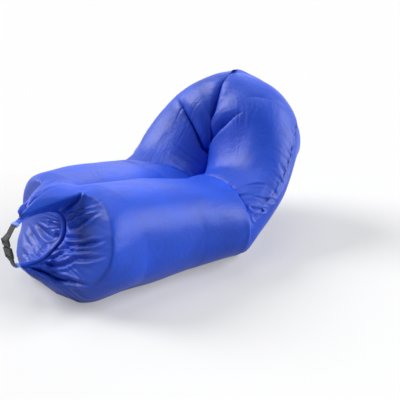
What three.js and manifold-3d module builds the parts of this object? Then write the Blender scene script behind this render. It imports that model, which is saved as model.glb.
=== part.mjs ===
// An inflatable lounger: two fat seat tubes that share one rolled mouth at the front, kink up at the
// heel and curl inward to meet at the top of a hooded back. Millimetres, +Z up, floor at Z = 0,
// front at -Y, sitter's left at +X. Every air chamber is an open-ended sleeve of cloth, and each
// meets the next one along a sewn line.
import * as THREE from 'three';
import { mergeVertices } from 'three/addons/utils/BufferGeometryUtils.js';
import Module from 'manifold-3d';

const wasm = await Module();
wasm.setup();

const X = new THREE.Vector3(1, 0, 0);
const Y = new THREE.Vector3(0, 1, 0);
const Z = new THREE.Vector3(0, 0, 1);
const QUARTER = Math.PI / 2;
const LEFT = 1;
const RIGHT = -1;
const UPPER = 1;
const LOWER = -1;
const vector = (x, y, z) => new THREE.Vector3(x, y, z);
const degrees = THREE.MathUtils.degToRad;
const mix = THREE.MathUtils.lerp;

// Cloth, and the gap that sewn neighbours keep
const skin = 1.0;
const seamGap = 0.3;
const halfGap = seamGap / 2;

// Seat tube sections, from the front shoulder to the kink at the heel
const seat = {
  shoulderY: 80,
  shoulder: { x: 108, z: 188, wide: 197, top: 188, bottom: 194 },
  middleY: 330,
  middle: { x: 136, z: 165, wide: 214, top: 174, bottom: 172 },
  rearY: 540,
  rear: { x: 205, z: 150, wide: 226, top: 141, bottom: 157 },
  kinkY: 639,
  kink: { x: 174, z: 122, wide: 234, top: 172, bottom: 130 },
};

// The kink between seat and back, the upper crease, and the middle plane where the two arms meet
const kinkSplay = degrees(-23.5);
const kinkLean = degrees(-5);
const kinkOnset = 4;
const kinkFold = { depth: 32, around: 90, rounding: 90, rest: 4 };
const crease = {
  x: 123, y: 986, z: 361,
  heading: vector(-0.42, 0.88, 0.57).normalize(),
  wide: 210, top: 241, bottom: 205,
};
const creaseFold = { depth: 89, around: 120, rounding: 90, rest: 6 };
const crown = {
  x: 0, y: 990, z: 412,
  heading: vector(-1, 0, 0),
  lean: degrees(12.3),
  wide: 156, top: 241, bottom: 250,
};
const crownFold = { depth: 26, around: 120, rounding: 80, rest: 14 };
const squareness = 2.2;
const crownSquareness = 2.9;

// How far the arms swell between their creases, on the side of each bend and away from it
const lowerSwell = { inner: -46, outer: -92, facing: 106 };
const upperSwell = { inner: -16, outer: 21, facing: 74 };

// Facets of the sleeves
const around = 24;
const seatRings = 10;
const lobeRings = 12;
const crownRings = 9;

// The rolled mouth runs in the middle plane, from the upper horn back into the valley and forward
// again to the lower horn; each point is (Y, Z)
const mouthPath = [
  [-190, 297], [-160, 308], [-125, 314], [-85, 313], [-48, 307], [-13, 290], [2, 258], [3, 228], [-10, 196],
  [-50, 168], [-112, 150], [-160, 156], [-203, 167],
];
const roll = { thick: 17, wide: 20, hornThick: 9.5, hornWide: 28, hornFade: 3, wall: 2, sides: 12 };
const stiffener = { thick: 1, wide: 14.7, setBack: 6 };
const cuff = { length: 12, thick: 1.2, clearance: 0.9, steps: 2 };

// The front panels run from the shoulder over a brim to the mouth. By angle round the tube in degrees,
// from under the mouth to over it: the share of the mouth's length that the cloth there runs to, the
// brim's place, and how the cloth turns there, from a folded lip at 0 to a round shoulder at 1
const brim = [
  { angle: -123, share: 1, x: 0, y: -50, z: 0, round: 0 },
  { angle: -105, share: 0.975, x: 48, y: -50, z: 0, round: 0 },
  { angle: -90, share: 0.95, x: 92, y: -50, z: 0, round: 0.1 },
  { angle: -75, share: 0.92, x: 116, y: -50, z: 0, round: 0.3 },
  { angle: -60, share: 0.87, x: 152, y: -58, z: 12, round: 0.7 },
  { angle: -45, share: 0.8, x: 190, y: -70, z: 46, round: 1 },
  { angle: -30, share: 0.72, x: 215, y: -58, z: 92, round: 1 },
  { angle: -15, share: 0.62, x: 235, y: -30, z: 140, round: 1 },
  { angle: 0, share: 0.54, x: 243, y: -2, z: 186, round: 1 },
  { angle: 15, share: 0.49, x: 245, y: 16, z: 230, round: 1 },
  { angle: 30, share: 0.45, x: 240, y: 28, z: 272, round: 1 },
  { angle: 45, share: 0.42, x: 222, y: 32, z: 308, round: 1 },
  { angle: 60, share: 0.39, x: 190, y: 28, z: 340, round: 0.9 },
  { angle: 75, share: 0.36, x: 150, y: 18, z: 360, round: 0.6 },
  { angle: 85, share: 0.33, x: 120, y: 10, z: 366, round: 0.3 },
  { angle: 95, share: 0.3, x: 95, y: 1, z: 368, round: 0 },
  { angle: 118, share: 0.05, x: 13, y: -163, z: 331, round: 0 },
  { angle: 123.5, share: 0, x: 0, y: -163, z: 322, round: 0 },
];
const ridge = { leave: 93, lift: 62, arrive: 64, crest: 48, share: 0.3 };
const panel = {
  steps: 9, columns: 22, samples: 40, ahead: 0.75, towards: 0.45, onward: 0.6, bulge: 16,
  hornBare: 24, edgeGap: 0.9, smoothing: 2, smoothed: 0.6, lipShare: 0.15,
};

// Under the mouth the cloth is pulled flat from its edge on the floor up to the lower horn
const underside = { edge: -50, slope: 1.03 };

// The smooth rear panel is sewn to the arms along the gathered side seams; its columns stand at the
// facets of the sleeves, and the seam between two of them
const rear = { firstRing: 3, seamStep: 1.5, innerStep: -8, clearance: 0.6, bridge: 4, samples: 36, window: 110 };
const piping = { radius: 3, sides: 6, clearance: 0.8 };

// The closing seam stands up as a small tab in the notch at the peak
const tab = { thick: 2.4, height: 29, foot: 1.7, footWide: 44, topWide: 26 };

// Webbing, and a side-release buckle that closes the horns into a ring; its local frame has its
// origin at the upper bar, Z down along the buckle and Y forward
const webbing = { width: 25, thick: 1.4, overlap: 18, layerGap: 0.4, lead: 4, turnSteps: 8 };
const buckle = {
  barY: -226, barZ: 262, towardY: -212, towardZ: 172,
  bar: 2.4, barGap: 0.3, barSides: 12, slot: 5.8, halfWidth: 16.5, slotHalf: 13, bevel: 1,
};
const tongue = { thick: 8, length: 20, prongHalf: 2.4, prongThick: 4, prongEnd: 44 };
const latch = {
  thick: 4.6, inner: 9, outer: 12.4, elbow: 13.4, shoulder: 35, headOuter: 16.5, headEnd: 43, tip: 48.5,
};
const housing = {
  start: 28, end: 65, thick: 10, halfWidth: 17, taper: 1.5, throat: 14.4, cavityHalf: 2.8, cavityEnd: 50.5,
  windowStart: 34.6, windowEnd: 45.4, slotStart: 54, barCentre: 62.2,
};
const overrun = 2;

// How often a search by halves narrows its range
const halvings = 40;

// Radius of a squared ellipse in the plane of a ring, seen from its centre
function ringRadius(section, angle, power) {
  const across = Math.cos(angle);
  const up = Math.sin(angle);
  const height = up > 0 ? section.top : section.bottom;
  const share = Math.abs(across / section.wide) ** power + Math.abs(up / height) ** power;
  return 1 / share ** (1 / power);
}

// A shared ring: its centre, its frame, and its radius in each direction of that frame
function makeRing(section, centre, turn, power, tilt = 0) {
  return { centre, turn, radius: (angle) => ringRadius(section, angle + tilt, power) };
}

function swellAt(swell, angle) {
  const facing = Math.cos(angle - degrees(swell.facing));
  return facing > 0 ? swell.inner * facing : -swell.outer * facing;
}

function foldDepth(fold, angle) {
  return fold.rest + fold.depth * Math.max(0, Math.cos(angle - degrees(fold.around)));
}

// A pillow edge: nothing at one rounding from the crease, all of the fold at the crease itself
function pillowEdge(distance, rounding) {
  const inside = Math.max(0, 1 - distance / rounding);
  return 1 - Math.sqrt(1 - inside * inside);
}

function ringPoint(ring, angle, radius) {
  return vector(Math.cos(angle), 0, Math.sin(angle))
    .applyQuaternion(ring.turn)
    .multiplyScalar(radius)
    .add(ring.centre);
}

function easedStep(t) {
  return (1 - Math.cos(Math.PI * t)) / 2;
}

// A point of the arm between two shared rings, t of the way along and at an angle round it
function sweepPoint(arm, t, angle) {
  const { start, end, path, length } = arm;
  const ring = { centre: path.getPoint(t), turn: start.turn.clone().slerp(end.turn, t) };
  const full = mix(start.radius(angle), end.radius(angle), t) + swellAt(arm.swell, angle) * Math.sin(Math.PI * t);
  const pinch = foldDepth(arm.startFold, angle) * pillowEdge(t * length, arm.startFold.rounding)
    + foldDepth(arm.endFold, angle) * pillowEdge((1 - t) * length, arm.endFold.rounding);
  return ringPoint(ring, angle, full - pinch);
}

// An arm leaves and arrives square to its rings
function makeArm(start, end, startFold, endFold, swell) {
  const handle = start.centre.distanceTo(end.centre) / 3;
  const out = Y.clone().applyQuaternion(start.turn).multiplyScalar(handle);
  const back = Y.clone().applyQuaternion(end.turn).multiplyScalar(handle);
  const path = new THREE.CubicBezierCurve3(
    start.centre, start.centre.clone().add(out), end.centre.clone().sub(back), end.centre);
  return { start, end, path, length: path.getLength(), startFold, endFold, swell };
}

const seatStations = [
  [seat.shoulderY, seat.shoulder], [seat.middleY, seat.middle], [seat.rearY, seat.rear], [seat.kinkY, seat.kink],
];

function seatSection(y) {
  let i = 0;
  while (i < seatStations.length - 2 && y > seatStations[i + 1][0]) i += 1;
  const [y0, a] = seatStations[i];
  const [y1, b] = seatStations[i + 1];
  const t = THREE.MathUtils.clamp((y - y0) / (y1 - y0), 0, 1);
  const section = {};
  for (const key of ['x', 'z', 'wide', 'top', 'bottom']) section[key] = mix(a[key], b[key], t);
  return section;
}

// A point of the seat tube, t of the way from the shoulder to the kink
function seatPoint(t, angle) {
  const length = seat.kinkY - seat.shoulderY;
  const y = seat.shoulderY + length * t;
  const section = seatSection(y);
  const turn = new THREE.Quaternion().slerp(kinkTurn, t ** kinkOnset);
  const ring = makeRing(section, vector(section.x, y, section.z), turn, squareness);
  const pinch = foldDepth(kinkFold, angle) * pillowEdge(length * (1 - t), kinkFold.rounding);
  return ringPoint(ring, angle, ring.radius(angle) - pinch);
}

// Frames of the shared rings, each turned on from the one before
const kinkTurn = new THREE.Quaternion().setFromAxisAngle(Z, kinkSplay)
  .multiply(new THREE.Quaternion().setFromAxisAngle(X, kinkLean));
const creaseTurn = new THREE.Quaternion().setFromUnitVectors(Y, crease.heading);
const crownTurn = new THREE.Quaternion().setFromUnitVectors(crease.heading, crown.heading).multiply(creaseTurn);
const crownAcross = X.clone().applyQuaternion(crownTurn);
const crownTilt = Math.atan2(crownAcross.z, crownAcross.y) + crown.lean;

const kinkRing = makeRing(seat.kink, vector(seat.kink.x, seat.kinkY, seat.kink.z), kinkTurn, squareness);
const creaseRing = makeRing(crease, vector(crease.x, crease.y, crease.z), creaseTurn, squareness);
const crownRing = makeRing(crown, vector(crown.x, crown.y, crown.z), crownTurn, crownSquareness, crownTilt);
const lowerArm = makeArm(kinkRing, creaseRing, kinkFold, creaseFold, lowerSwell);
const upperArm = makeArm(creaseRing, crownRing, creaseFold, crownFold, upperSwell);

// Keeps a point on its own side of the middle plane and above the floor
function bounded(point, inset) {
  return vector(Math.max(point.x, halfGap + inset), point.y, Math.max(point.z, inset));
}

// Rows of points of a sleeve, drawn back at each end by half the gap of its seam
function rowsOf(pointAt, count, steps, startGap, endGap) {
  const rows = [];
  for (let i = 0; i <= count; i++) {
    const row = [];
    for (let k = 0; k < around; k++) row.push(pointAt(steps(i / count), (2 * Math.PI * k) / around));
    rows.push(row);
  }
  rows[0].forEach((p) => p.add(startGap));
  rows[count].forEach((p) => p.sub(endGap));
  return rows;
}

function gapAlong(turn) {
  return Y.clone().applyQuaternion(turn).multiplyScalar(halfGap);
}

function geometryFrom(points, faces) {
  const geometry = new THREE.BufferGeometry();
  geometry.setAttribute('position', new THREE.Float32BufferAttribute(points.flatMap((p) => [p.x, p.y, p.z]), 3));
  geometry.setIndex(faces.flat());
  return geometry;
}

// Inward normals of a grid of points, closed around if asked
function gridNormals(rows, closed) {
  const across = rows[0].length;
  const last = rows.length - 1;
  return rows.map((row, i) => row.map((point, k) => {
    const before = closed ? row[(k + across - 1) % across] : row[Math.max(0, k - 1)];
    const after = closed ? row[(k + 1) % across] : row[Math.min(across - 1, k + 1)];
    const along = rows[Math.min(last, i + 1)][k].clone().sub(rows[Math.max(0, i - 1)][k]);
    return after.clone().sub(before).cross(along).normalize();
  }));
}

// Cloth laid over a grid of points: the grid, the same grid one thickness inside, and hems. Columns
// before turnedBefore are split along their other diagonal, so that both halves of a piece match
function cloth(grid, thickness, closed, bound, turnedBefore = 0) {
  const outer = grid.map((row) => row.map((p) => bound(p, 0)));
  const normals = gridNormals(outer, closed);
  const inner = outer.map((row, i) => row.map(
    (p, k) => bound(p.clone().addScaledVector(normals[i][k], thickness), thickness)));
  const count = outer[0].length;
  const last = outer.length - 1;
  const spans = closed ? count : count - 1;
  const at = (i, k) => i * count + (k % count);
  const shift = outer.length * count;
  const faces = [];
  for (let i = 0; i < last; i++) {
    for (let k = 0; k < spans; k++) {
      const corners = [at(i, k), at(i + 1, k), at(i + 1, k + 1), at(i, k + 1)];
      if (k < turnedBefore) corners.push(corners.shift());
      const [a, b, c, d] = corners;
      faces.push([a, b, c], [a, c, d]);
      faces.push([shift + a, shift + c, shift + b], [shift + a, shift + d, shift + c]);
    }
  }
  for (let k = 0; k < spans; k++) {
    faces.push([at(0, k), at(0, k + 1), shift + at(0, k + 1)], [at(0, k), shift + at(0, k + 1), shift + at(0, k)]);
    faces.push([at(last, k), shift + at(last, k), shift + at(last, k + 1)],
      [at(last, k), shift + at(last, k + 1), at(last, k + 1)]);
  }
  if (!closed) {
    for (let i = 0; i < last; i++) {
      const end = count - 1;
      faces.push([at(i, 0), shift + at(i, 0), shift + at(i + 1, 0)], [at(i, 0), shift + at(i + 1, 0), at(i + 1, 0)]);
      faces.push([at(i, end), shift + at(i + 1, end), shift + at(i, end)],
        [at(i, end), at(i + 1, end), shift + at(i + 1, end)]);
    }
  }
  return geometryFrom([...outer.flat(), ...inner.flat()], faces);
}

const seatTube = () => cloth(
  rowsOf(seatPoint, seatRings, (t) => Math.sin(QUARTER * t), vector(0, halfGap, 0), gapAlong(kinkTurn)),
  skin, true, bounded);
const backLower = () => cloth(
  rowsOf((t, a) => sweepPoint(lowerArm, t, a), lobeRings, easedStep, gapAlong(kinkTurn), gapAlong(creaseTurn)),
  skin, true, bounded);
const backUpper = () => cloth(
  rowsOf((t, a) => sweepPoint(upperArm, t, a), crownRings, easedStep, gapAlong(creaseTurn), gapAlong(crownTurn)),
  skin, true, bounded);

// The mouth's path as a curve in the middle plane, and its outward side there
const mouthCurve = new THREE.CatmullRomCurve3(mouthPath.map(([y, z]) => vector(0, y, z)), false, 'centripetal');

function mouthFrame(u) {
  const centre = mouthCurve.getPointAt(u);
  const along = mouthCurve.getTangentAt(u);
  const outward = X.clone().cross(along).normalize();
  return { centre, along, outward };
}

function rollHalf(u) {
  const horn = Math.abs(Math.cos(Math.PI * u)) ** roll.hornFade;
  return { thick: mix(roll.thick, roll.hornThick, horn) / 2, wide: mix(roll.wide, roll.hornWide, horn) / 2 };
}

// The last number between low and high for which a test still holds
function lastHolding(low, high, holds) {
  for (let i = 0; i < halvings; i++) {
    const middle = (low + high) / 2;
    if (holds(middle)) low = middle;
    else high = middle;
  }
  return low;
}

// Where the shoulder ring crosses the middle plane, above or below
function contactAngle(sign) {
  return sign * lastHolding(0, Math.PI, (angle) => seatPoint(0, sign * angle).x > halfGap);
}

function brimAt(angle) {
  const degree = THREE.MathUtils.radToDeg(angle);
  let i = 0;
  while (i < brim.length - 2 && degree > brim[i + 1].angle) i += 1;
  const [a, b] = [brim[i], brim[i + 1]];
  const t = THREE.MathUtils.clamp((degree - a.angle) / (b.angle - a.angle), 0, 1);
  const station = {};
  for (const key of ['share', 'x', 'y', 'z', 'round']) station[key] = mix(a[key], b[key], t);
  return station;
}

// The angles of the front panel's columns, and where along the mouth each of them ends
const panelTop = contactAngle(1);
const panelBottom = contactAngle(-1);

// Columns are spread half by their angle and half by their share of the mouth
function panelAngle(k) {
  if (k === 0 || k === panel.columns) return k === 0 ? panelBottom : panelTop;
  const spread = (angle) => (angle - panelBottom) / (panelTop - panelBottom) + 1 - brimAt(angle).share;
  return lastHolding(panelBottom, panelTop, (angle) => spread(angle) < (2 * k) / panel.columns);
}

function panelStation(k) {
  const bare = panel.hornBare / mouthCurve.getLength();
  return mix(bare, 1 - bare, brimAt(panelAngle(k)).share);
}

// One column of the front panel, from the shoulder over its brim to the mouth
function panelLine(k) {
  const start = seatPoint(0, panelAngle(k)).add(vector(0, -halfGap, 0));
  const { share, x, y, z, round } = brimAt(panelAngle(k));
  const turn = vector(x, y, z);
  const u = panelStation(k);
  const { centre, outward } = mouthFrame(u);
  const half = rollHalf(u);
  const reach = Math.min(QUARTER, Math.PI * Math.sin(Math.PI * u));
  const end = centre.clone()
    .addScaledVector(outward, (half.thick + panel.edgeGap) * Math.cos(reach))
    .addScaledVector(X, (half.wide + panel.edgeGap) * Math.sin(reach) + halfGap);
  const onRidge = Math.max(0, 1 - share / ridge.share) ** 2;
  const ahead = mix(panel.ahead * (start.y - y), ridge.leave, onRidge);
  const leave = start.clone().add(vector(0, -ahead, ridge.lift * onRidge));
  const arrive = turn.clone().lerp(leave, panel.towards)
    .lerp(turn.clone().add(vector(0, ridge.arrive, ridge.crest)), onRidge);
  const onward = turn.clone().lerp(end, 1 / 3)
    .lerp(turn.clone().add(turn.clone().sub(arrive).multiplyScalar(panel.onward)), round);
  const inner = end.clone().lerp(turn, 1 / 3).addScaledVector(Y, -panel.bulge * round);
  const line = new THREE.CurvePath();
  line.add(new THREE.CubicBezierCurve3(start, leave, arrive, turn));
  line.add(new THREE.CubicBezierCurve3(turn, onward, inner, end));
  line.curves.forEach((curve) => { curve.arcLengthDivisions = panel.samples; });
  return line.getSpacedPoints(panel.steps).reverse();
}

// Rounds a grid inside its edges, each column by its own share; it still leaves the shoulder straight
function smoothed(rows, shares) {
  const next = rows.map((row) => row.map((p) => p.clone()));
  for (let i = 1; i < rows.length - 2; i++) {
    for (let k = 1; k < rows[i].length - 1; k++) {
      const mean = rows[i - 1][k].clone().add(rows[i + 1][k]).add(rows[i][k - 1]).add(rows[i][k + 1]).divideScalar(4);
      next[i][k].lerp(mean, shares[k]);
    }
  }
  return next;
}

function frontPanel() {
  const columns = [];
  const shares = [];
  for (let k = 0; k <= panel.columns; k++) {
    columns.push(panelLine(k));
    shares.push(panel.smoothed * mix(panel.lipShare, 1, brimAt(panelAngle(k)).round));
  }
  let rows = columns[0].map((_, i) => columns.map((column) => column[i]));
  for (let i = 0; i < panel.smoothing; i++) rows = smoothed(rows, shares);
  const steep = Math.hypot(1, underside.slope);
  const aboveUnderside = (point, inset) => {
    const clear = bounded(point, inset);
    clear.z = Math.max(clear.z, underside.slope * (underside.edge - clear.y) + inset * steep);
    return clear;
  };
  return cloth(rows, skin, false, aboveUnderside);
}

// A ring of points round the mouth's path, as wide and thick as asked
function mouthRing(u, halfWide, halfThick, sides) {
  const { centre, outward } = mouthFrame(u);
  const row = [];
  for (let k = 0; k < sides; k++) {
    const angle = (2 * Math.PI * k) / sides;
    row.push(centre.clone()
      .addScaledVector(X, halfWide * Math.cos(angle))
      .addScaledVector(outward, halfThick * Math.sin(angle)));
  }
  return row;
}

const free = (p) => p;

// The rolled cloth of the mouth: a thick tube that flattens towards its two horns. Its rings stand
// at the columns of the front panels, and at the tip of each horn
function mouthRoll() {
  const stations = [0];
  for (let k = panel.columns; k >= 0; k--) stations.push(panelStation(k));
  stations.push(1);
  const rows = stations.map((u) => {
    const half = rollHalf(u);
    return mouthRing(u, half.wide, half.thick, roll.sides);
  });
  return cloth(rows, roll.wall, true, free);
}

// A binding round one horn of the roll
function hornCuff(from) {
  const share = cuff.length / mouthCurve.getLength();
  const rows = [];
  for (let i = 0; i <= cuff.steps; i++) {
    const along = (share * i) / cuff.steps;
    const u = from === 0 ? along : 1 - share + along;
    const half = rollHalf(u);
    const grow = cuff.clearance + cuff.thick;
    rows.push(mouthRing(u, half.wide + grow, half.thick + grow, roll.sides));
  }
  return cloth(rows, cuff.thick, true, free);
}

// A ribbon in the middle plane: its centre line as (Y, Z) points, its thickness and its width
function ribbon(line, thickness, width) {
  const sides = [1, -1].map((side) => line.map((point, i) => {
    const before = line[Math.max(0, i - 1)];
    const after = line[Math.min(line.length - 1, i + 1)];
    const along = after.clone().sub(before).normalize();
    return point.clone().add(new THREE.Vector2(-along.y, along.x).multiplyScalar((side * thickness) / 2));
  }));
  return acrossMiddle(new THREE.Shape([...sides[0], ...sides[1].reverse()]), width);
}

// A (Y, Z) outline drawn out across the middle plane
function acrossMiddle(shape, width) {
  const geometry = new THREE.ExtrudeGeometry(shape, { depth: width, bevelEnabled: false });
  geometry.translate(0, 0, -width / 2);
  return geometry.applyMatrix4(new THREE.Matrix4().makeBasis(Y, Z, X));
}

// The flexible strip inside the roll, a little shorter than it
function mouthStiffener() {
  const setBack = stiffener.setBack / mouthCurve.getLength();
  const line = [];
  for (let i = 0; i <= panel.columns; i++) {
    const { centre } = mouthFrame(mix(setBack, 1 - setBack, i / panel.columns));
    line.push(new THREE.Vector2(centre.y, centre.z));
  }
  return ribbon(line, stiffener.thick, stiffener.wide);
}

// Webbing that leaves a horn, turns round a bar and lies back on itself
function strap(tip, outOf, barAt, hand) {
  const start = tip.clone().addScaledVector(outOf, seamGap);
  const lead = start.clone().addScaledVector(outOf, webbing.lead);
  const toBar = barAt.clone().sub(lead);
  const span = toBar.length();
  toBar.normalize();
  const side = new THREE.Vector2(-toBar.y, toBar.x).multiplyScalar(hand);
  const turn = buckle.bar + buckle.barGap + webbing.thick / 2;
  const at = (along, across) => lead.clone().addScaledVector(toBar, along).addScaledVector(side, across);
  const line = [start, lead];
  for (let i = 0; i <= webbing.turnSteps; i++) {
    const angle = mix(0, Math.PI, i / webbing.turnSteps);
    line.push(at(span + turn * Math.sin(angle), turn * Math.cos(angle)));
  }
  const meet = span - webbing.overlap;
  line.push(at(meet, (turn * meet) / span - webbing.thick - webbing.layerGap));
  return ribbon(line, webbing.thick, webbing.width);
}

// Joins and cuts between closed meshes
function solid(geometry) {
  const bare = geometry.clone();
  bare.deleteAttribute('normal');
  bare.deleteAttribute('uv');
  const merged = mergeVertices(bare);
  return new wasm.Manifold(new wasm.Mesh({
    numProp: 3,
    vertProperties: new Float32Array(merged.attributes.position.array),
    triVerts: new Uint32Array(merged.index.array),
  }));
}

function meshOf(manifold) {
  const { vertProperties, triVerts } = manifold.getMesh();
  const geometry = new THREE.BufferGeometry();
  geometry.setAttribute('position', new THREE.BufferAttribute(new Float32Array(vertProperties), 3));
  geometry.setIndex(new THREE.BufferAttribute(new Uint32Array(triVerts), 1));
  return geometry;
}

// A block in the buckle's frame, between two stations along it
function block(halfWidth, thickness, from, to) {
  const geometry = new THREE.BoxGeometry(2 * halfWidth, thickness, to - from);
  geometry.translate(0, 0, (from + to) / 2);
  return solid(geometry);
}

// A plate in the buckle's frame, from an outline of (X, along) points
function plate(points, thickness, bevel) {
  const outline = new THREE.Shape(points.map(([x, along]) => new THREE.Vector2(x, along)));
  const geometry = new THREE.ExtrudeGeometry(outline, {
    depth: thickness - 2 * bevel, bevelEnabled: bevel > 0, bevelThickness: bevel, bevelSize: bevel,
    bevelOffset: -bevel, bevelSegments: 1,
  });
  geometry.translate(0, 0, bevel - thickness / 2);
  return geometry.rotateX(QUARTER);
}

// A round bar that closes a webbing slot, let into the rails at both ends
function bar(along) {
  const length = buckle.slotHalf + buckle.halfWidth;
  const geometry = new THREE.CylinderGeometry(buckle.bar, buckle.bar, length, buckle.barSides);
  geometry.rotateZ(QUARTER);
  geometry.translate(0, 0, along);
  return solid(geometry);
}

// The tongue: a bar for the webbing, a body, and a middle prong that guides it into the housing
function buckleTongue() {
  const w = buckle.halfWidth;
  const rim = -buckle.bar;
  const outline = [[-w, rim], [w, rim], [w, tongue.length], [-w, tongue.length]];
  const slotEnd = buckle.bar + buckle.slot;
  return meshOf(solid(plate(outline, tongue.thick, buckle.bevel))
    .subtract(block(buckle.slotHalf, tongue.thick + overrun, rim - overrun, slotEnd))
    .add(bar(0))
    .add(block(tongue.prongHalf, tongue.prongThick, tongue.length - overrun, tongue.prongEnd)));
}

// A latch arm springs outward so that its head catches behind the housing's throat
function latchArm() {
  const root = tongue.length + seamGap;
  const outline = [
    [latch.inner, root], [latch.outer, root], [latch.elbow, latch.shoulder - overrun], [latch.elbow, latch.shoulder],
    [latch.headOuter, latch.shoulder], [latch.headOuter, latch.headEnd], [latch.inner + overrun, latch.tip],
    [latch.inner, latch.tip],
  ];
  return meshOf(solid(plate(outline, latch.thick, 0)));
}

// The housing: a throat and cavity for the tongue, side windows for the heads, and an end bar
function buckleHousing() {
  const w = housing.halfWidth;
  const outline = [
    [-w, housing.start], [w, housing.start], [w, housing.slotStart], [w - housing.taper, housing.end],
    [-w + housing.taper, housing.end], [-w, housing.slotStart],
  ];
  const cavity = 2 * housing.cavityHalf;
  const windowHalf = w + overrun;
  return meshOf(solid(plate(outline, housing.thick, buckle.bevel))
    .subtract(block(housing.throat, cavity, housing.start - overrun, housing.cavityEnd))
    .subtract(block(windowHalf, cavity, housing.windowStart, housing.windowEnd))
    .subtract(block(buckle.slotHalf, housing.thick + overrun, housing.slotStart, housing.end + overrun))
    .add(bar(housing.barCentre)));
}

const barPoint = new THREE.Vector2(buckle.barY, buckle.barZ);
const buckleAlong = new THREE.Vector2(buckle.towardY, buckle.towardZ).sub(barPoint).normalize();
const lowerBarPoint = barPoint.clone().addScaledVector(buckleAlong, housing.barCentre);
const buckleFrame = new THREE.Matrix4().makeBasis(
  X, vector(0, buckleAlong.y, -buckleAlong.x), vector(0, buckleAlong.x, buckleAlong.y))
  .setPosition(0, buckle.barY, buckle.barZ);

function horn(u) {
  const { centre, along } = mouthFrame(u);
  const outOf = u === 0 ? -1 : 1;
  return [new THREE.Vector2(centre.y, centre.z), new THREE.Vector2(along.y, along.z).multiplyScalar(outOf)];
}

// Outward normal of an arm
function armNormal(arm, t, angle) {
  const small = 1e-3;
  const round = sweepPoint(arm, t, angle + small).sub(sweepPoint(arm, t, angle - small));
  const along = sweepPoint(arm, Math.min(1, t + small), angle).sub(sweepPoint(arm, Math.max(0, t - small), angle));
  return along.cross(round).normalize();
}

// Points spread over both arms, for what rests on them
function armSamples() {
  const points = [];
  for (const arm of [lowerArm, upperArm]) {
    for (let i = 0; i <= rear.samples; i++) {
      for (let k = 0; k < rear.samples; k++) {
        points.push(bounded(sweepPoint(arm, i / rear.samples, (2 * Math.PI * k) / rear.samples), 0));
      }
    }
  }
  return points;
}

// Lifts a point along a direction until nothing near it stands higher
function liftedClear(point, facing, samples) {
  let lift = 0;
  for (const sample of samples) {
    const offset = sample.clone().sub(point);
    const height = offset.dot(facing);
    if (height > lift && offset.addScaledVector(facing, -height).length() < rear.window) lift = height;
  }
  return point.clone().addScaledVector(facing, lift + rear.bridge + skin);
}

// The rear panel lies on both arms from seam to seam and spans the valley between them
function rearPanel() {
  const samples = armSamples();
  const step = (2 * Math.PI) / around;
  const columns = [];
  for (let k = rear.innerStep; k < rear.seamStep; k++) columns.push(k);
  columns.push(rear.seamStep);
  const rows = [];
  for (let i = rear.firstRing; i < lobeRings; i++) {
    const t = easedStep(i / lobeRings);
    const onArm = [];
    for (const k of columns) {
      const normal = armNormal(lowerArm, t, k * step);
      const point = sweepPoint(lowerArm, t, k * step).addScaledVector(normal, rear.clearance + skin);
      onArm.push({ k, normal, point });
    }
    const level = onArm.reduce((best, one) => (Math.abs(one.normal.x) < Math.abs(best.normal.x) ? one : best));
    const facing = vector(0, level.normal.y, level.normal.z).normalize();
    const crest = onArm.slice(1).reduce((best, one) => (one.point.dot(facing) > best.point.dot(facing) ? one : best));
    const half = onArm.map((one) => {
      if (one.k > crest.k) return one.point;
      const share = (one.k - rear.innerStep) / (crest.k - rear.innerStep);
      return liftedClear(vector(crest.point.x * share, crest.point.y, crest.point.z), facing, samples);
    });
    const other = half.slice(1).reverse().map((p) => vector(-p.x, p.y, p.z));
    rows.push([...other, ...half]);
  }
  return cloth(rows, skin, false, (p, inset) => vector(p.x, p.y, Math.max(p.z, inset)), columns.length - 1);
}

// Piping along the gathered seam, just outside the rear panel's edge
function sideSeam() {
  const step = (2 * Math.PI) / around;
  const rows = [];
  for (let i = rear.firstRing; i < lobeRings; i++) {
    const t = easedStep(i / lobeRings);
    const edge = sweepPoint(lowerArm, t, rear.seamStep * step);
    const beyond = sweepPoint(lowerArm, t, (rear.seamStep + 1) * step);
    const sideways = beyond.sub(edge).normalize();
    const normal = armNormal(lowerArm, t, rear.seamStep * step);
    const centre = edge.clone()
      .addScaledVector(sideways, piping.radius + seamGap)
      .addScaledVector(normal, piping.radius + piping.clearance);
    const row = [];
    for (let k = 0; k < piping.sides; k++) {
      const angle = (2 * Math.PI * k) / piping.sides;
      row.push(centre.clone()
        .addScaledVector(normal, piping.radius * Math.cos(angle))
        .addScaledVector(sideways, piping.radius * Math.sin(angle)));
    }
    rows.push(row);
  }
  return rod(rows);
}

// A closed rod through rings of points, with a flat cap at each end
function rod(rows) {
  const count = rows[0].length;
  const last = rows.length - 1;
  const at = (i, k) => i * count + (k % count);
  const faces = [];
  for (let i = 0; i < last; i++) {
    for (let k = 0; k < count; k++) {
      faces.push([at(i, k), at(i + 1, k), at(i + 1, k + 1)], [at(i, k), at(i + 1, k + 1), at(i, k + 1)]);
    }
  }
  for (let k = 1; k < count - 1; k++) {
    faces.push([at(0, 0), at(0, k), at(0, k + 1)], [at(last, 0), at(last, k + 1), at(last, k)]);
  }
  return geometryFrom(rows.flat(), faces);
}

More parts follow.
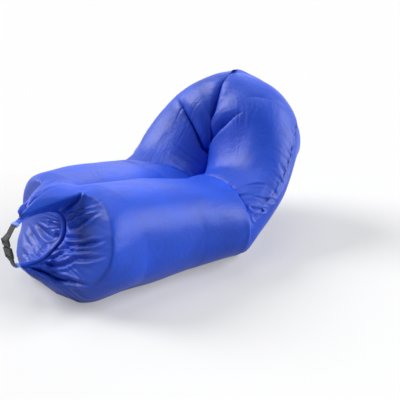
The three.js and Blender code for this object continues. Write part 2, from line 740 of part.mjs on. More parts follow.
// The tab stands on the crown ring's highest direction, in the middle plane
function peakTab() {
  const ring = upperArm.end;
  let top = ring.centre.clone();
  for (let k = 0; k < around; k++) {
    const point = sweepPoint(upperArm, 1, (2 * Math.PI * k) / around);
    if (point.z > top.z) top = point;
  }
  const up = new THREE.Vector2(top.y - ring.centre.y, top.z - ring.centre.z).normalize();
  const sideways = new THREE.Vector2(up.y, -up.x);
  const base = new THREE.Vector2(top.y, top.z);
  const at = (across, height) => base.clone().addScaledVector(sideways, across).addScaledVector(up, height);
  const outline = [
    at(-tab.footWide / 2, tab.foot), at(tab.footWide / 2, tab.foot),
    at(tab.topWide / 2, tab.foot + tab.height), at(-tab.topWide / 2, tab.foot + tab.height),
  ];
  return acrossMiddle(new THREE.Shape(outline), tab.thick);
}

function mirrored(geometry, side) {
  if (side === LEFT) return geometry;
  const copy = geometry.clone();
  copy.scale(-1, 1, 1);
  const index = copy.getIndex();
  for (let i = 0; i < index.count; i += 3) {
    const first = index.getX(i);
    index.setX(i, index.getX(i + 1));
    index.setX(i + 1, first);
  }
  return copy;
}

const cloths = {
  nylon: { color: 0x2446b8, roughness: 0.42 },
  hem: { color: 0x4a66cf, roughness: 0.5 },
  piping: { color: 0x1d3aa3, roughness: 0.55 },
  webbing: { color: 0x16171a, roughness: 0.8 },
  plastic: { color: 0x1b1c20, roughness: 0.45 },
  strip: { color: 0xc9ccd2, roughness: 0.5 },
};

const lounger = new THREE.Group();

function add(name, material, geometry) {
  const mesh = new THREE.Mesh(geometry, new THREE.MeshStandardMaterial({ ...cloths[material], name: material }));
  mesh.name = name;
  lounger.add(mesh);
}

const placed = (geometry) => geometry.applyMatrix4(buckleFrame);
for (const [side, name] of [[LEFT, 'left'], [RIGHT, 'right']]) {
  add(`seat_tube_${name}`, 'nylon', mirrored(seatTube(), side));
  add(`back_lower_${name}`, 'nylon', mirrored(backLower(), side));
  add(`back_upper_${name}`, 'nylon', mirrored(backUpper(), side));
  add(`front_panel_${name}`, 'nylon', mirrored(frontPanel(), side));
  add(`side_seam_${name}`, 'piping', mirrored(sideSeam(), side));
  add(`latch_arm_${name}`, 'plastic', placed(mirrored(latchArm(), side)));
}
add('rear_panel', 'nylon', rearPanel());
add('peak_seam_tab', 'hem', peakTab());
add('mouth_roll', 'nylon', mouthRoll());
add('mouth_stiffener', 'strip', mouthStiffener());
add('end_cuff_upper', 'hem', hornCuff(0));
add('end_cuff_lower', 'hem', hornCuff(1));
add('strap_upper', 'webbing', strap(...horn(0), barPoint, UPPER));
add('strap_lower', 'webbing', strap(...horn(1), lowerBarPoint, LOWER));
add('buckle_male', 'plastic', placed(buckleTongue()));
add('buckle_female', 'plastic', placed(buckleHousing()));

// The origin is under the middle of the part
const middle = new THREE.Box3().setFromObject(lounger).getCenter(vector(0, 0, 0));
for (const mesh of lounger.children) mesh.geometry.translate(0, -middle.y, 0);

export default lounger;
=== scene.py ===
"""The look of an inflatable lounger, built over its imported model. Metres, +Z up, front at -Y."""
import math

import bpy
import numpy as np
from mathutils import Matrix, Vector


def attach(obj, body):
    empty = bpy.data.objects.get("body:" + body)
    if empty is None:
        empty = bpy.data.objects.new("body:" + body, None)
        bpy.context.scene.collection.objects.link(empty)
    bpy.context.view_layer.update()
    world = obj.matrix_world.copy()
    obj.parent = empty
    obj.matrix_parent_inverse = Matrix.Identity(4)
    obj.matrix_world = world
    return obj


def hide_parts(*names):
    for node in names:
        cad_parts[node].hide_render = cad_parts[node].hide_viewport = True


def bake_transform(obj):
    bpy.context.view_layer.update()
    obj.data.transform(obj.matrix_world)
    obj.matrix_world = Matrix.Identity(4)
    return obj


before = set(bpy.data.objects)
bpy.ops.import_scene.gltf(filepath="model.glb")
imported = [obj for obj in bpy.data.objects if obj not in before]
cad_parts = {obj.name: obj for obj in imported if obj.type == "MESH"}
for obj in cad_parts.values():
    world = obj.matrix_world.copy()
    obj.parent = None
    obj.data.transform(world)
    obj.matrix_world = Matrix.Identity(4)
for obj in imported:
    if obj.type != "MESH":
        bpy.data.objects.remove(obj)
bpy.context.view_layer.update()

# The sizes below are in millimetres, measured from near the front, as the part's own are
MM = 0.001
MIDDLE = 469.663
AXIS_X = np.array([1.0, 0.0, 0.0])
AXIS_Y = np.array([0.0, 1.0, 0.0])
AXIS_Z = np.array([0.0, 0.0, 1.0])
MIRROR = np.array([-1, 1, 1])
HALF_GAP = 0.15

# The air chambers: seat tube, and the two arms of the back between three shared rings
SEAT = [
    (80, dict(x=108, z=188, wide=197, top=188, bottom=194)),
    (330, dict(x=136, z=165, wide=214, top=174, bottom=172)),
    (540, dict(x=205, z=150, wide=226, top=141, bottom=157)),
    (639, dict(x=174, z=122, wide=234, top=172, bottom=130)),
]
KINK_SPLAY = math.radians(-23.5)
KINK_LEAN = math.radians(-5)
KINK_FOLD = dict(depth=32, around=90, rounding=90, rest=4, fades=3)
CREASE = dict(x=123, y=986, z=361, heading=(-0.42, 0.88, 0.57), wide=210, top=241, bottom=205)
CREASE_FOLD = dict(depth=89, around=120, rounding=90, rest=6)
CROWN = dict(x=0, y=990, z=412, lean=math.radians(12.3), wide=156, top=241, bottom=250)
CROWN_FOLD = dict(depth=26, around=120, rounding=80, rest=14)
SQUARENESS = 2.2
CROWN_SQUARENESS = 2.9
LOWER_SWELL = dict(inner=-46, outer=-92, facing=106)
UPPER_SWELL = dict(inner=-16, outer=21, facing=74)

# The upper crease runs lower on the side that faces the sitter: by angle round the arm in degrees,
# how far the crease is moved along the arm, how much of the even fold is filled, and how deep the new
# fold is. Left and right are the sitter's.
CREASE_ANGLES = [0, 45, 60, 75, 90, 105, 120, 135, 150, 165, 180, 205, 240, 300, 360]
CREASE_LEFT = dict(
    shift=[0, 0, -10, -40, -68, -86, -98, -106, -112, -116, -110, -80, 0, 0, 0],
    filled=[0.6, 0.7, 0.8, 0.9, 1, 1, 1, 1, 1, 1, 1, 0.9, 0.3, 0, 0.6],
    depth=[0, 0, 0, 0, 0, 10, 34, 42, 42, 42, 40, 30, 0, 0, 0],
)
CREASE_RIGHT = dict(
    shift=[0, -20, -38, -58, -78, -104, -125, -147, -170, -150, -130, -85, 0, 0, 0],
    filled=[0.6, 0.9, 1, 1, 1, 1, 1, 1, 1, 1, 1, 0.9, 0.3, 0, 0.6],
    depth=[0, 0, 0, 8, 22, 28, 32, 36, 40, 42, 40, 30, 0, 0, 0],
)
CREASE_ROUNDING = 46
BRIDGE_BEFORE, BRIDGE_AFTER = 105, 90
BASE_STEP = 5

# Smoothing of the cloth over the kink, and along the seat tube where its sections change their slope
KINK_REACH = 34
KINK_PLAIN = dict(around=90, limit=0.5, fade=0.3)
SEAT_SOFTENING = 14

# The rolled mouth and the front panels
MOUTH_PATH = [
    (-190, 297), (-160, 308), (-125, 314), (-85, 313), (-48, 307), (-13, 290), (2, 258), (3, 228),
    (-10, 196), (-50, 168), (-112, 150), (-160, 156), (-203, 167),
]
ROLL = dict(thick=17, wide=20, horn_thick=9.5, horn_wide=28)
PANEL = dict(horn_bare=24, edge_gap=0.9)

# The brim of the front panel by angle round the tube in degrees: its share of the way along the mouth,
# its place, and how round the cloth turns there, from a folded lip at 0 to a full turn at 1
BRIM_ANGLES = [-123, -105, -90, -75, -60, -45, -30, -15, 0, 15, 30, 45, 60, 75, 85, 95, 118, 123.5]
BRIM_SHARE = [
    1, 0.975, 0.95, 0.92, 0.87, 0.80, 0.72, 0.62, 0.54, 0.49, 0.45, 0.42, 0.39, 0.36, 0.33, 0.30, 0.05, 0,
]
BRIM_LEFT = dict(
    x=[0, 48, 92, 116, 150, 184, 216, 256, 288, 292, 274, 243, 199, 152, 120, 95, 13, 0],
    y=[-50, -50, -50, -50, -60, -78, -84, -84, -72, -56, -38, -16, 4, 12, 8, 1, -163, -163],
    z=[0, 0, 0, 0, 12, 46, 92, 140, 188, 234, 280, 316, 344, 361, 366, 368, 331, 322],
)
BRIM_RIGHT = dict(
    x=[0, 48, 92, 116, 152, 190, 215, 235, 243, 245, 240, 222, 190, 150, 120, 95, 13, 0],
    y=[-50, -50, -50, -50, -58, -70, -58, -30, -2, 16, 28, 32, 28, 18, 10, 1, -163, -163],
    z=[0, 0, 0, 0, 12, 46, 92, 140, 186, 230, 272, 308, 340, 360, 366, 368, 331, 322],
)
BRIM_ROUND = [0, 0, 0.1, 0.3, 0.7, 1, 1, 1, 1, 1, 1, 1, 0.9, 0.6, 0.3, 0, 0, 0]
RIDGE = dict(leave=93, lift=62, arrive=64, crest=48, share=0.30)
BRIM_PULL = dict(leave=0.75, arrive=0.45, onward=0.6)
FACE_BULGE = 16
FRONT_EDGE = -50
FRONT_SLOPE = 1.09
FRONT_SMOOTHING = dict(times=3, pull=0.6, least=0.15)

# The rear panel, the gathered seams beside it, and the tab at the peak
REAR = dict(
    first=3, last=11, rings=12, steps=24, seam=1.5, inner=-8,
    clearance=1.6, bridge=5, window=110, samples=36,
)
REAR_ROWS, REAR_COLUMNS = 60, 44
REAR_SMOOTHING = dict(times=3, pull=2 / 3)
REAR_SWELLS = dict(start=-60, fade=50)
PIPING = dict(radius=3, clearance=0.8, gap=0.3, sides=10)
PIPING_TAPER = ([0, 16, 4 * REAR_ROWS - 16, 4 * REAR_ROWS], [0.2, 0.55, 0.55, 0.2])
TAB = dict(thick=2.4, height=29, foot=1.7, foot_wide=44, top_wide=26, rows=12, sides=24)
TAB_LEAN = math.radians(42)
TAB_CORNERS = dict(wide=0.25, thick=0.5)
TAB_WAVE = dict(height=1.2, turns=2.2, shift=1.4, aside=0.6)

# The roll winds inward from its edge; each hem is a list of (along the roll, share of its proud height)
ROLL_STEP = 0.16
ROLL_EDGE = math.radians(35)
ROLL_ROWS, ROLL_SIDES = 120, 40
CUFF_PROUD = 2.1
CUFF_PROFILE = [
    (-0.2, 0.0), (0.0, 0.8), (0.4, 1.0), (0.9, 0.9), (2.2, 1.0), (6.0, 0.96), (9.8, 1.0), (11.6, 0.95),
    (12.0, 0.1),
]

# Webbing and buckle, in the middle plane
WEBBING = dict(width=25, thick=1.4, overlap=18, layer_gap=0.4, lead=4, tip_gap=0.3, turn_steps=16)
BUCKLE = dict(bar_y=-226, bar_z=262, toward_y=-212, toward_z=172, bar=2.4, bar_gap=0.3, lower_bar=62.2)
BUCKLE_EDGE = 0.0005

# How finely the cloth is drawn
OUTER_COLUMNS = 230
INNER_COLUMNS = 44
SEAT_ROWS = 120
LOWER_ROWS = 110
UPPER_ROWS = 84
FRONT_ROWS = 84
KINK_ROW = FRONT_ROWS + SEAT_ROWS
CREASE_ROW = KINK_ROW + LOWER_ROWS
GIRTH = 200.0
CURVE_STEPS = 40
SMALL_STEP = 1e-3
NOISE_CELLS = 256


def quat(axis, angle):
    """A turn about an axis."""
    return np.array([math.cos(angle / 2), *(math.sin(angle / 2) * np.asarray(axis, float))])


def quat_between(a, b):
    """The turn from one direction to another."""
    q = np.array([1 + a @ b, *np.cross(a, b)])
    return q / np.linalg.norm(q)


def quat_product(p, q):
    """The turn q followed by the turn p."""
    return np.array([p[0] * q[0] - p[1:] @ q[1:], *(p[0] * q[1:] + q[0] * p[1:] + np.cross(p[1:], q[1:]))])


def slerp(p, q, t):
    """A turn part of the way from p to q."""
    d = p @ q
    if d < 0:
        q, d = -q, -d
    if d > 0.99999:
        r = p + t * (q - p)
        return r / np.linalg.norm(r)
    whole = math.acos(d)
    return (math.sin((1 - t) * whole) * p + math.sin(t * whole) * q) / math.sin(whole)


def turned(q, v):
    """A vector after a turn."""
    t = 2 * np.cross(q[1:], v)
    return v + q[0] * t + np.cross(q[1:], t)


def circle(count):
    """Even angles round a full turn."""
    return np.linspace(0, 2 * math.pi, count, endpoint=False)


def ring_radius(section, angle, power):
    """The radius of a rounded section, whose top and bottom heights differ."""
    height = np.where(np.sin(angle) > 0, section["top"], section["bottom"])
    share = np.abs(np.cos(angle) / section["wide"]) ** power + np.abs(np.sin(angle) / height) ** power
    return share ** (-1 / power)


def fold_depth(fold, angle):
    """How far an even fold draws the cloth in, by angle."""
    facing = np.maximum(0, np.cos(angle - math.radians(fold["around"])))
    rest = fold["rest"] * (np.minimum(1, fold["fades"] * facing) if "fades" in fold else 1)
    return rest + fold["depth"] * facing


def pillow_edge(distance, rounding):
    """How far the cloth has dropped towards a seam at this distance."""
    inside = max(0.0, 1 - distance / rounding)
    return 1 - math.sqrt(1 - inside * inside)


def swell_at(swell, angle):
    """How far an arm is fuller or leaner than between its rings, by angle."""
    facing = np.cos(angle - math.radians(swell["facing"]))
    return np.where(facing > 0, swell["inner"] * facing, -swell["outer"] * facing)


def ring_points(centre, q, angle, radius):
    """The points of a ring."""
    across, up = turned(q, AXIS_X), turned(q, AXIS_Z)
    return centre + radius[:, None] * (np.cos(angle)[:, None] * across + np.sin(angle)[:, None] * up)


HEADING = np.array(CREASE["heading"]) / np.linalg.norm(CREASE["heading"])
KINK_TURN = quat_product(quat(AXIS_Z, KINK_SPLAY), quat(AXIS_X, KINK_LEAN))
CREASE_TURN = quat_between(AXIS_Y, HEADING)
CROWN_TURN = quat_product(quat_between(HEADING, -AXIS_X), CREASE_TURN)
CROWN_ACROSS = turned(CROWN_TURN, AXIS_X)
CROWN_TILT = math.atan2(CROWN_ACROSS[2], CROWN_ACROSS[1]) + CROWN["lean"]
SEAT_LENGTH = SEAT[-1][0] - SEAT[0][0]


def seat_ring(t, angle):
    """A ring of the seat tube, at a share of its length."""
    y = SEAT[0][0] + SEAT_LENGTH * t
    places = [s[0] for s in SEAT]
    section = {k: np.interp(y, places, [s[1][k] for s in SEAT]) for k in SEAT[0][1]}
    q = slerp(np.array([1.0, 0, 0, 0]), KINK_TURN, t ** 4)
    pinch = fold_depth(KINK_FOLD, angle) * pillow_edge(SEAT_LENGTH * (1 - t), KINK_FOLD["rounding"])
    radius = ring_radius(section, angle, SQUARENESS) - pinch
    return ring_points(np.array([section["x"], y, section["z"]]), q, angle, radius)


def shared_ring(section, y, turn, power, tilt=0.0):
    """A ring that two stretches of cloth share."""
    centre = np.array([section["x"], y, section["z"]], float)
    return dict(centre=centre, turn=turn, section=section, power=power, tilt=tilt)


def shared_radius(ring, angle):
    return ring_radius(ring["section"], angle + ring["tilt"], ring["power"])


def make_arm(start, end, start_fold, end_fold, swell):
    """An arm of the back between two shared rings, pinched by a fold at each."""
    first, last = start["centre"], end["centre"]
    handle = np.linalg.norm(last - first) / 3
    leave, arrive = turned(start["turn"], AXIS_Y) * handle, turned(end["turn"], AXIS_Y) * handle
    path = np.array([first, first + leave, last - arrive, last])
    t = np.linspace(0, 1, 200)
    length = np.linalg.norm(np.diff(bezier(path, t), axis=0), axis=1).sum()
    return dict(start=start, end=end, path=path, length=length, folds=(start_fold, end_fold), swell=swell)


def bezier(points, t):
    """A cubic through its four control points."""
    t = np.asarray(t, float)[..., None]
    s = 1 - t
    return s ** 3 * points[0] + 3 * s * s * t * points[1] + 3 * s * t * t * points[2] + t ** 3 * points[3]


def hermite(start, leave, end, arrive, t):
    """A cubic from start to end, with the slopes given at both."""
    return (
        (2 * t ** 3 - 3 * t ** 2 + 1) * start + (t ** 3 - 2 * t ** 2 + t) * leave
        + (3 * t ** 2 - 2 * t ** 3) * end + (t ** 3 - t ** 2) * arrive
    )


def bridged(rows, first, last):
    """A smooth bridge from row first to row last, in line with the rows before and after."""
    span = last - first
    t = (np.arange(span + 1) / span)[:, None, None]
    leave = (rows[first] - rows[first - 2]) / 2 * span
    arrive = (rows[last + 2] - rows[last]) / 2 * span
    return hermite(rows[first], leave, rows[last], arrive, t)


def arm_ring(arm, t, angle):
    q = slerp(arm["start"]["turn"], arm["end"]["turn"], t)
    full = (1 - t) * shared_radius(arm["start"], angle) + t * shared_radius(arm["end"], angle)
    full = full + swell_at(arm["swell"], angle) * math.sin(math.pi * t)
    first, last = arm["folds"]
    pinch = fold_depth(first, angle) * pillow_edge(t * arm["length"], first["rounding"])
    pinch = pinch + fold_depth(last, angle) * pillow_edge((1 - t) * arm["length"], last["rounding"])
    return ring_points(bezier(arm["path"], t), q, angle, full - pinch)


KINK_RING = shared_ring(SEAT[-1][1], SEAT[-1][0], KINK_TURN, SQUARENESS)
CREASE_RING = shared_ring(CREASE, CREASE["y"], CREASE_TURN, SQUARENESS)
CROWN_RING = shared_ring(CROWN, CROWN["y"], CROWN_TURN, CROWN_SQUARENESS, CROWN_TILT)
LOWER_ARM = make_arm(KINK_RING, CREASE_RING, KINK_FOLD, CREASE_FOLD, LOWER_SWELL)
UPPER_ARM = make_arm(CREASE_RING, CROWN_RING, CREASE_FOLD, CROWN_FOLD, UPPER_SWELL)


class MouthCurve:
    """A centripetal curve through the mouth's points, read by its share of the length."""

    def __init__(self, path, steps=60):
        p = np.array([(0, y, z) for y, z in path], float)
        p = np.vstack([2 * p[0] - p[1], p, 2 * p[-1] - p[-2]])
        out = []
        for i in range(1, len(p) - 2):
            t = np.linspace(0, 1, steps, endpoint=False)
            out.append(self.stretch(p[i - 1], p[i], p[i + 1], p[i + 2], t))
        self.points = np.vstack([*out, p[-2][None]])
        gaps = np.linalg.norm(np.diff(self.points, axis=0), axis=1)
        self.length = gaps.sum()
        self.share = np.concatenate([[0], np.cumsum(gaps)]) / self.length

    @staticmethod
    def stretch(a, b, c, d, t):
        d0, d1, d2 = (np.linalg.norm(q - p) ** 0.5 for p, q in ((a, b), (b, c), (c, d)))
        leave = ((b - a) / d0 - (c - a) / (d0 + d1) + (c - b) / d1) * d1
        arrive = ((c - b) / d1 - (d - b) / (d1 + d2) + (d - c) / d2) * d1
        return hermite(b, leave, c, arrive, t[:, None])

    def point(self, u):
        return np.array([np.interp(u, self.share, self.points[:, i]) for i in range(3)])

    def frame(self, u):
        centre = self.point(u)
        along = self.point(min(1, u + 2 * SMALL_STEP)) - self.point(max(0, u - 2 * SMALL_STEP))
        along /= np.linalg.norm(along)
        return centre, along, np.cross(AXIS_X, along)


MOUTH = MouthCurve(MOUTH_PATH)
BARE = PANEL["horn_bare"] / MOUTH.length


def roll_half(u):
    """Half the thickness and half the width of the roll."""
    horn = abs(math.cos(math.pi * u)) ** 3
    thick = ROLL["thick"] + (ROLL["horn_thick"] - ROLL["thick"]) * horn
    wide = ROLL["wide"] + (ROLL["horn_wide"] - ROLL["wide"]) * horn
    return thick / 2, wide / 2


def contact_angle(sign):
    """The angle at which the front ring first meets the other side."""
    low, high = 0.0, math.pi
    for _ in range(40):
        middle = (low + high) / 2
        if seat_ring(0, np.array([sign * middle]))[0, 0] > HALF_GAP:
            low = middle
        else:
            high = middle
    return sign * low


TOP, BOTTOM = contact_angle(1), contact_angle(-1)


def front_line(angle, steps, edge):
    """One column of the front panel, from the roll over the brim to the shoulder."""
    degree = math.degrees(angle)
    share = float(np.interp(degree, BRIM_ANGLES, BRIM_SHARE))
    u = BARE + (1 - 2 * BARE) * share
    start = seat_ring(0, np.array([angle]))[0]
    brim = np.array([np.interp(degree, BRIM_ANGLES, edge[axis]) for axis in "xyz"])
    soft = float(np.interp(degree, BRIM_ANGLES, BRIM_ROUND))
    centre, _, outward = MOUTH.frame(u)
    thick, wide = roll_half(u)
    reach = min(math.pi / 2, math.pi * math.sin(math.pi * u))
    end = centre + outward * (thick + PANEL["edge_gap"]) * math.cos(reach)
    end = end + AXIS_X * ((wide + PANEL["edge_gap"]) * math.sin(reach) + HALF_GAP)
    ridge = max(0.0, 1 - share / RIDGE["share"]) ** 2
    ahead = BRIM_PULL["leave"] * (start[1] - brim[1])
    ahead += (RIDGE["leave"] - ahead) * ridge
    leave = start + np.array([0, -ahead, RIDGE["lift"] * ridge])
    arrive = brim + BRIM_PULL["arrive"] * (leave - brim)
    arrive += (brim + np.array([0, RIDGE["arrive"], RIDGE["crest"]]) - arrive) * ridge
    steps_along = np.linspace(0, 1, CURVE_STEPS)
    top = bezier(np.array([start, leave, arrive, brim]), steps_along)
    onward = brim + (end - brim) / 3
    onward += (brim + BRIM_PULL["onward"] * (brim - arrive) - onward) * soft
    inner = end + (brim - end) / 3 - AXIS_Y * FACE_BULGE * soft
    face = bezier(np.array([brim, onward, inner, end]), steps_along[1:])
    line = np.vstack([top, face])[::-1]
    along = np.concatenate([[0], np.cumsum(np.linalg.norm(np.diff(line, axis=0), axis=1))])
    even = np.linspace(0, along[-1], steps + 1)
    return np.stack([np.interp(even, along, line[:, axis]) for axis in range(3)], axis=1)


def evened(grid, times, pull):
    """Draws each inner point towards the mean of its four neighbours."""
    for _ in range(times):
        mean = (grid[:-2, 1:-1] + grid[2:, 1:-1] + grid[1:-1, :-2] + grid[1:-1, 2:]) / 4
        grid[1:-1, 1:-1] += pull * (mean - grid[1:-1, 1:-1])
    return grid


def smoothed_front(front, shoulder, soft):
    """Rounds the front panel, more where it turns fully, less along its lip."""
    grid = np.concatenate([front, shoulder[None, :front.shape[1]]])
    least = FRONT_SMOOTHING["least"]
    pull = FRONT_SMOOTHING["pull"] * (least + (1 - least) * soft)[None, 1:-1, None]
    return evened(grid, FRONT_SMOOTHING["times"], pull)[:-1]


def taut_below(points):
    """The cloth under the mouth is pulled flat from its floor edge up to the lower horn."""
    limit = FRONT_SLOPE * (FRONT_EDGE - points[..., 1])
    points[..., 2] = np.maximum(points[..., 2], limit)
    return points


def eased(n):
    """Shares from 0 to 1, closer together at both ends."""
    return (1 - np.cos(np.pi * np.linspace(0, 1, n + 1))) / 2


def crease_table(values, angle):
    return np.interp(np.degrees(angle) % 360, CREASE_ANGLES, values)


def back_sleeve(angle, crease_line):
    """Both arms as one sleeve, by distance along, with the fold at their shared ring partly filled."""
    lower, upper = LOWER_ARM["length"], UPPER_ARM["length"]
    along = np.append(np.arange(0, lower + upper, BASE_STEP), lower + upper)
    rings, centres = [], []
    for s in along:
        arm, t = (LOWER_ARM, s / lower) if s < lower else (UPPER_ARM, (s - lower) / upper)
        rings.append(arm_ring(arm, t, angle))
        centres.append(bezier(arm["path"], t))
    rings, centres = np.array(rings), np.array(centres)
    first = int((lower - BRIDGE_BEFORE) / BASE_STEP)
    last = int((lower + BRIDGE_AFTER) / BASE_STEP)
    filled = crease_table(crease_line["filled"], angle)[None, :, None]
    rings[first:last + 1] += filled * (bridged(rings, first, last) - rings[first:last + 1])
    return along, rings, centres


def back_rows(angle, crease_line):
    """Rows of the back from the kink to the crown; the row where its two parts meet is the crease."""
    along, rings, centres = back_sleeve(angle, crease_line)
    total = along[-1]
    crease = LOWER_ARM["length"] + crease_table(crease_line["shift"], angle)
    depth = crease_table(crease_line["depth"], angle)
    lower = eased(LOWER_ROWS)[1:, None] * crease
    upper = crease + eased(UPPER_ROWS)[1:, None] * (total - crease)
    places = np.vstack([lower, upper])
    rows = np.empty(places.shape + (3,))
    for k in range(len(angle)):
        for axis in range(3):
            rows[:, k, axis] = np.interp(places[:, k], along, rings[:, k, axis])
    middle = np.stack([np.interp(places, along, centres[:, axis]) for axis in range(3)], axis=-1)
    inside = np.maximum(0, 1 - np.abs(places - crease) / CREASE_ROUNDING)
    pinch = depth * (1 - np.sqrt(1 - inside ** 2))
    inward = middle - rows
    return rows + inward / np.linalg.norm(inward, axis=2, keepdims=True) * pinch[..., None]


def eased_kink(body, angle):
    """Draws the cloth smoothly over the kink where no fold is pressed into it."""
    first, last = SEAT_ROWS - KINK_REACH, SEAT_ROWS + KINK_REACH
    facing = np.cos(angle - math.radians(KINK_PLAIN["around"]))
    plain = np.clip((KINK_PLAIN["limit"] - facing) / KINK_PLAIN["fade"], 0, 1)[None, :, None]
    body[first:last + 1] += plain * (bridged(body, first, last) - body[first:last + 1])
    return body


def softened(body):
    """Evens the seat tube along its length, where its sections change their slope."""
    first, last, reach = 2 * SEAT_SOFTENING, SEAT_ROWS - KINK_REACH - SEAT_SOFTENING, SEAT_SOFTENING
    rows = np.arange(first, last)
    mean = sum(body[rows + k] for k in range(-reach, reach + 1)) / (2 * reach + 1)
    share = np.clip(np.minimum(rows - first, last - rows) / reach, 0, 1)[:, None, None]
    body[rows] += share * (mean - body[rows])
    return body


def skin_angles():
    """The angles of the skin's columns: finely round the outside, coarsely where the two sides meet."""
    outer = np.linspace(BOTTOM, TOP, OUTER_COLUMNS + 1)
    return np.concatenate([outer, np.linspace(TOP, BOTTOM + 2 * math.pi, INNER_COLUMNS + 1)[1:-1]])


def side_grids(crease_line, edge):
    """The front panel's grid (rows from the roll to the shoulder) and the body's rings, on the +X side."""
    angle = skin_angles()
    outer = angle[:OUTER_COLUMNS + 1]
    rings = [seat_ring(t, angle) for t in np.sin(np.pi / 2 * np.linspace(0, 1, SEAT_ROWS + 1))]
    body = eased_kink(np.concatenate([np.array(rings), back_rows(angle, crease_line)]), angle)
    front = np.stack([front_line(a, FRONT_ROWS, edge) for a in outer], axis=1)[:-1]
    soft = np.interp(np.degrees(outer), BRIM_ANGLES, BRIM_ROUND)
    return taut_below(smoothed_front(front, body[0], soft)), body


def bounded(points):
    """Keeps the points of a side on its own side of the middle and above the floor."""
    points = points.copy()
    points[..., 0] = np.maximum(points[..., 0], HALF_GAP)
    points[..., 2] = np.maximum(points[..., 2], 0)
    return points


# Gathers and puckers: how high, the size of their waves across and along, and their own seed
KINK_GATHERS = dict(height=2.6, across=13, along=110, seed=5)
CREASE_GATHERS = dict(height=1.6, across=12, along=90, seed=6)
CROWN_GATHERS = dict(height=1.3, across=15, along=100, seed=7)
SEAM_GATHERS = dict(height=2.6, across=12, along=80, seed=9)
SEAM_PUCKERS = dict(height=6.0, across=10, along=25, seed=12)
ROLL_PLEATS = dict(height=4.0, across=17, along=130, seed=11)

# The rows of the gathered seam, and how far along the kink is at each angle in degrees
SEAM_ROWS = (KINK_ROW + 38, CREASE_ROW - 4)
SEAM_FADE = 8
KINK_ALONG = ([-120, -90, -60, -30, 0, 22.5, 45, 60], [599, 572, 551, 532, 517, 520, 547, 569])

# How high a fold's shoulders are, the rows by the roll that fade in, and where the toe is drawn back
FOLD_SHOULDER = 0.38
EDGE_ROWS = 5
TOE = dict(height=130, width=110)

# What each side's cloth does: swellings as (degrees round, along from the shoulder, how wide in degrees,
# how long, how high), and folds as (path of (degrees round, along from the shoulder), how wide, how
# deep, what is left of it at its two ends, and for one the height of its shoulders)
LEFT_SIDE = dict(
    crease=CREASE_LEFT,
    brim=BRIM_LEFT,
    seed=100,
    swellings=[
        (57, 1335, 9, 50, 20), (40, 1270, 14, 60, -5), (28, 1158, 16, 90, -8), (-8, 1120, 16, 120, -12),
        (-12, 660, 16, 110, -14), (-52, -62, 18, 110, -25), (-45, 430, 22, 160, -8), (-26, 548, 10, 30, 7),
    ],
    toe=4,
    folds=[
        ([(93, -83), (86, -131), (80, -184), (73, -234)], 26, 17, (0.4, 0.8)),
        ([(16, -389), (43, -240), (52, -156), (56, -106)], 24, 15, (1, 0)),
        ([(-4, -419), (14, -308), (26, -213)], 20, 12, (1, 0)),
        ([(-24, -410), (-7, -377), (14, -263), (26, -150)], 22, 15, (1, 0)),
        ([(-45, -386), (-15, -380), (11, -231)], 18, 11, (1, 0)),
        ([(-55, -364), (-13, -318), (11, -165)], 20, 12, (1, 0)),
        ([(-116, -323), (-70, -318), (-39, -280), (-20, -186)], 28, 22, (0.6, 0)),
        ([(-98, -327), (-48, -322), (-30, -266)], 22, 14, (0.6, 0)),
        ([(34, -360), (56, -215), (66, -150)], 15, 8, (1, 0)),
        ([(-30, -400), (0, -330), (20, -240)], 12, 5, (1, 0)),
        ([(60, -300), (66, -220), (64, -160)], 14, 6, (1, 0)),
        ([(37, 580), (27, 615), (14, 674)], 14, 9, (0, 0.2)),
        ([(54, 587), (45, 640), (33, 684)], 12, 6, (0.3, 0)),
        ([(24, 547), (19, 583), (14, 621)], 12, 6, (1, 0)),
        ([(16, 537), (19, 583), (16, 627)], 12, 4, (1, 0)),
        ([(43, 453), (23, 470), (11, 534)], 26, 4, (0.8, 0), 0.05),
    ],
)
RIGHT_SIDE = dict(
    crease=CREASE_RIGHT,
    brim=BRIM_RIGHT,
    seed=300,
    swellings=[
        (60, 150, 26, 200, 11), (58, 420, 26, 180, 8), (38, 870, 16, 100, 13), (57, 1335, 12, 50, 12),
        (62, 1090, 20, 90, -4), (60, 1110, 16, 100, -5), (0, -85, 34, 80, -22), (28, 700, 14, 60, -14),
    ],
    toe=22,
    folds=[
        ([(102, -45), (112, -110), (122, -164)], 20, 3.0, (0, 1)),
        ([(86, -39), (111, -152), (123, -239)], 20, 3.5, (0, 1)),
        ([(74, -35), (95, -120), (121, -232)], 18, 3.0, (0, 1)),
        ([(101, -7), (107, -99), (119, -172)], 18, 3.0, (0, 1)),
        ([(64, -60), (84, -150), (112, -235)], 18, 5, (0, 1)),
        ([(95, 186), (106, 155), (118, 124)], 12, 2.0, (0, 0.5)),
        ([(96, 236), (108, 200), (119, 169)], 12, 2.0, (0, 0.5)),
        ([(103, 258), (112, 238), (120, 218)], 10, 1.5, (0, 0.5)),
        ([(97, 150), (108, 120), (119, 96)], 10, 1.5, (0, 0.5)),
        ([(8, -201), (-3, -270), (-12, -345)], 24, 9, (0, 1)),
        ([(3, -156), (-12, -250), (-28, -345)], 26, 10, (0, 1)),
        ([(-7, -157), (-23, -273), (-46, -374)], 24, 9, (0, 1)),
        ([(22, -255), (10, -300), (0, -350)], 20, 7, (0, 1)),
        ([(-21, -191), (-33, -267), (-51, -323)], 20, 7, (0, 1)),
        ([(98, 761), (131, 739), (157, 741)], 16, 2.0, (0, 1)),
        ([(88, 720), (118, 690), (150, 670)], 14, 2.0, (0, 1)),
    ],
)


def placed_object(name, data):
    """A new object in the scene."""
    obj = bpy.data.objects.new(name, data)
    bpy.context.scene.collection.objects.link(obj)
    return obj


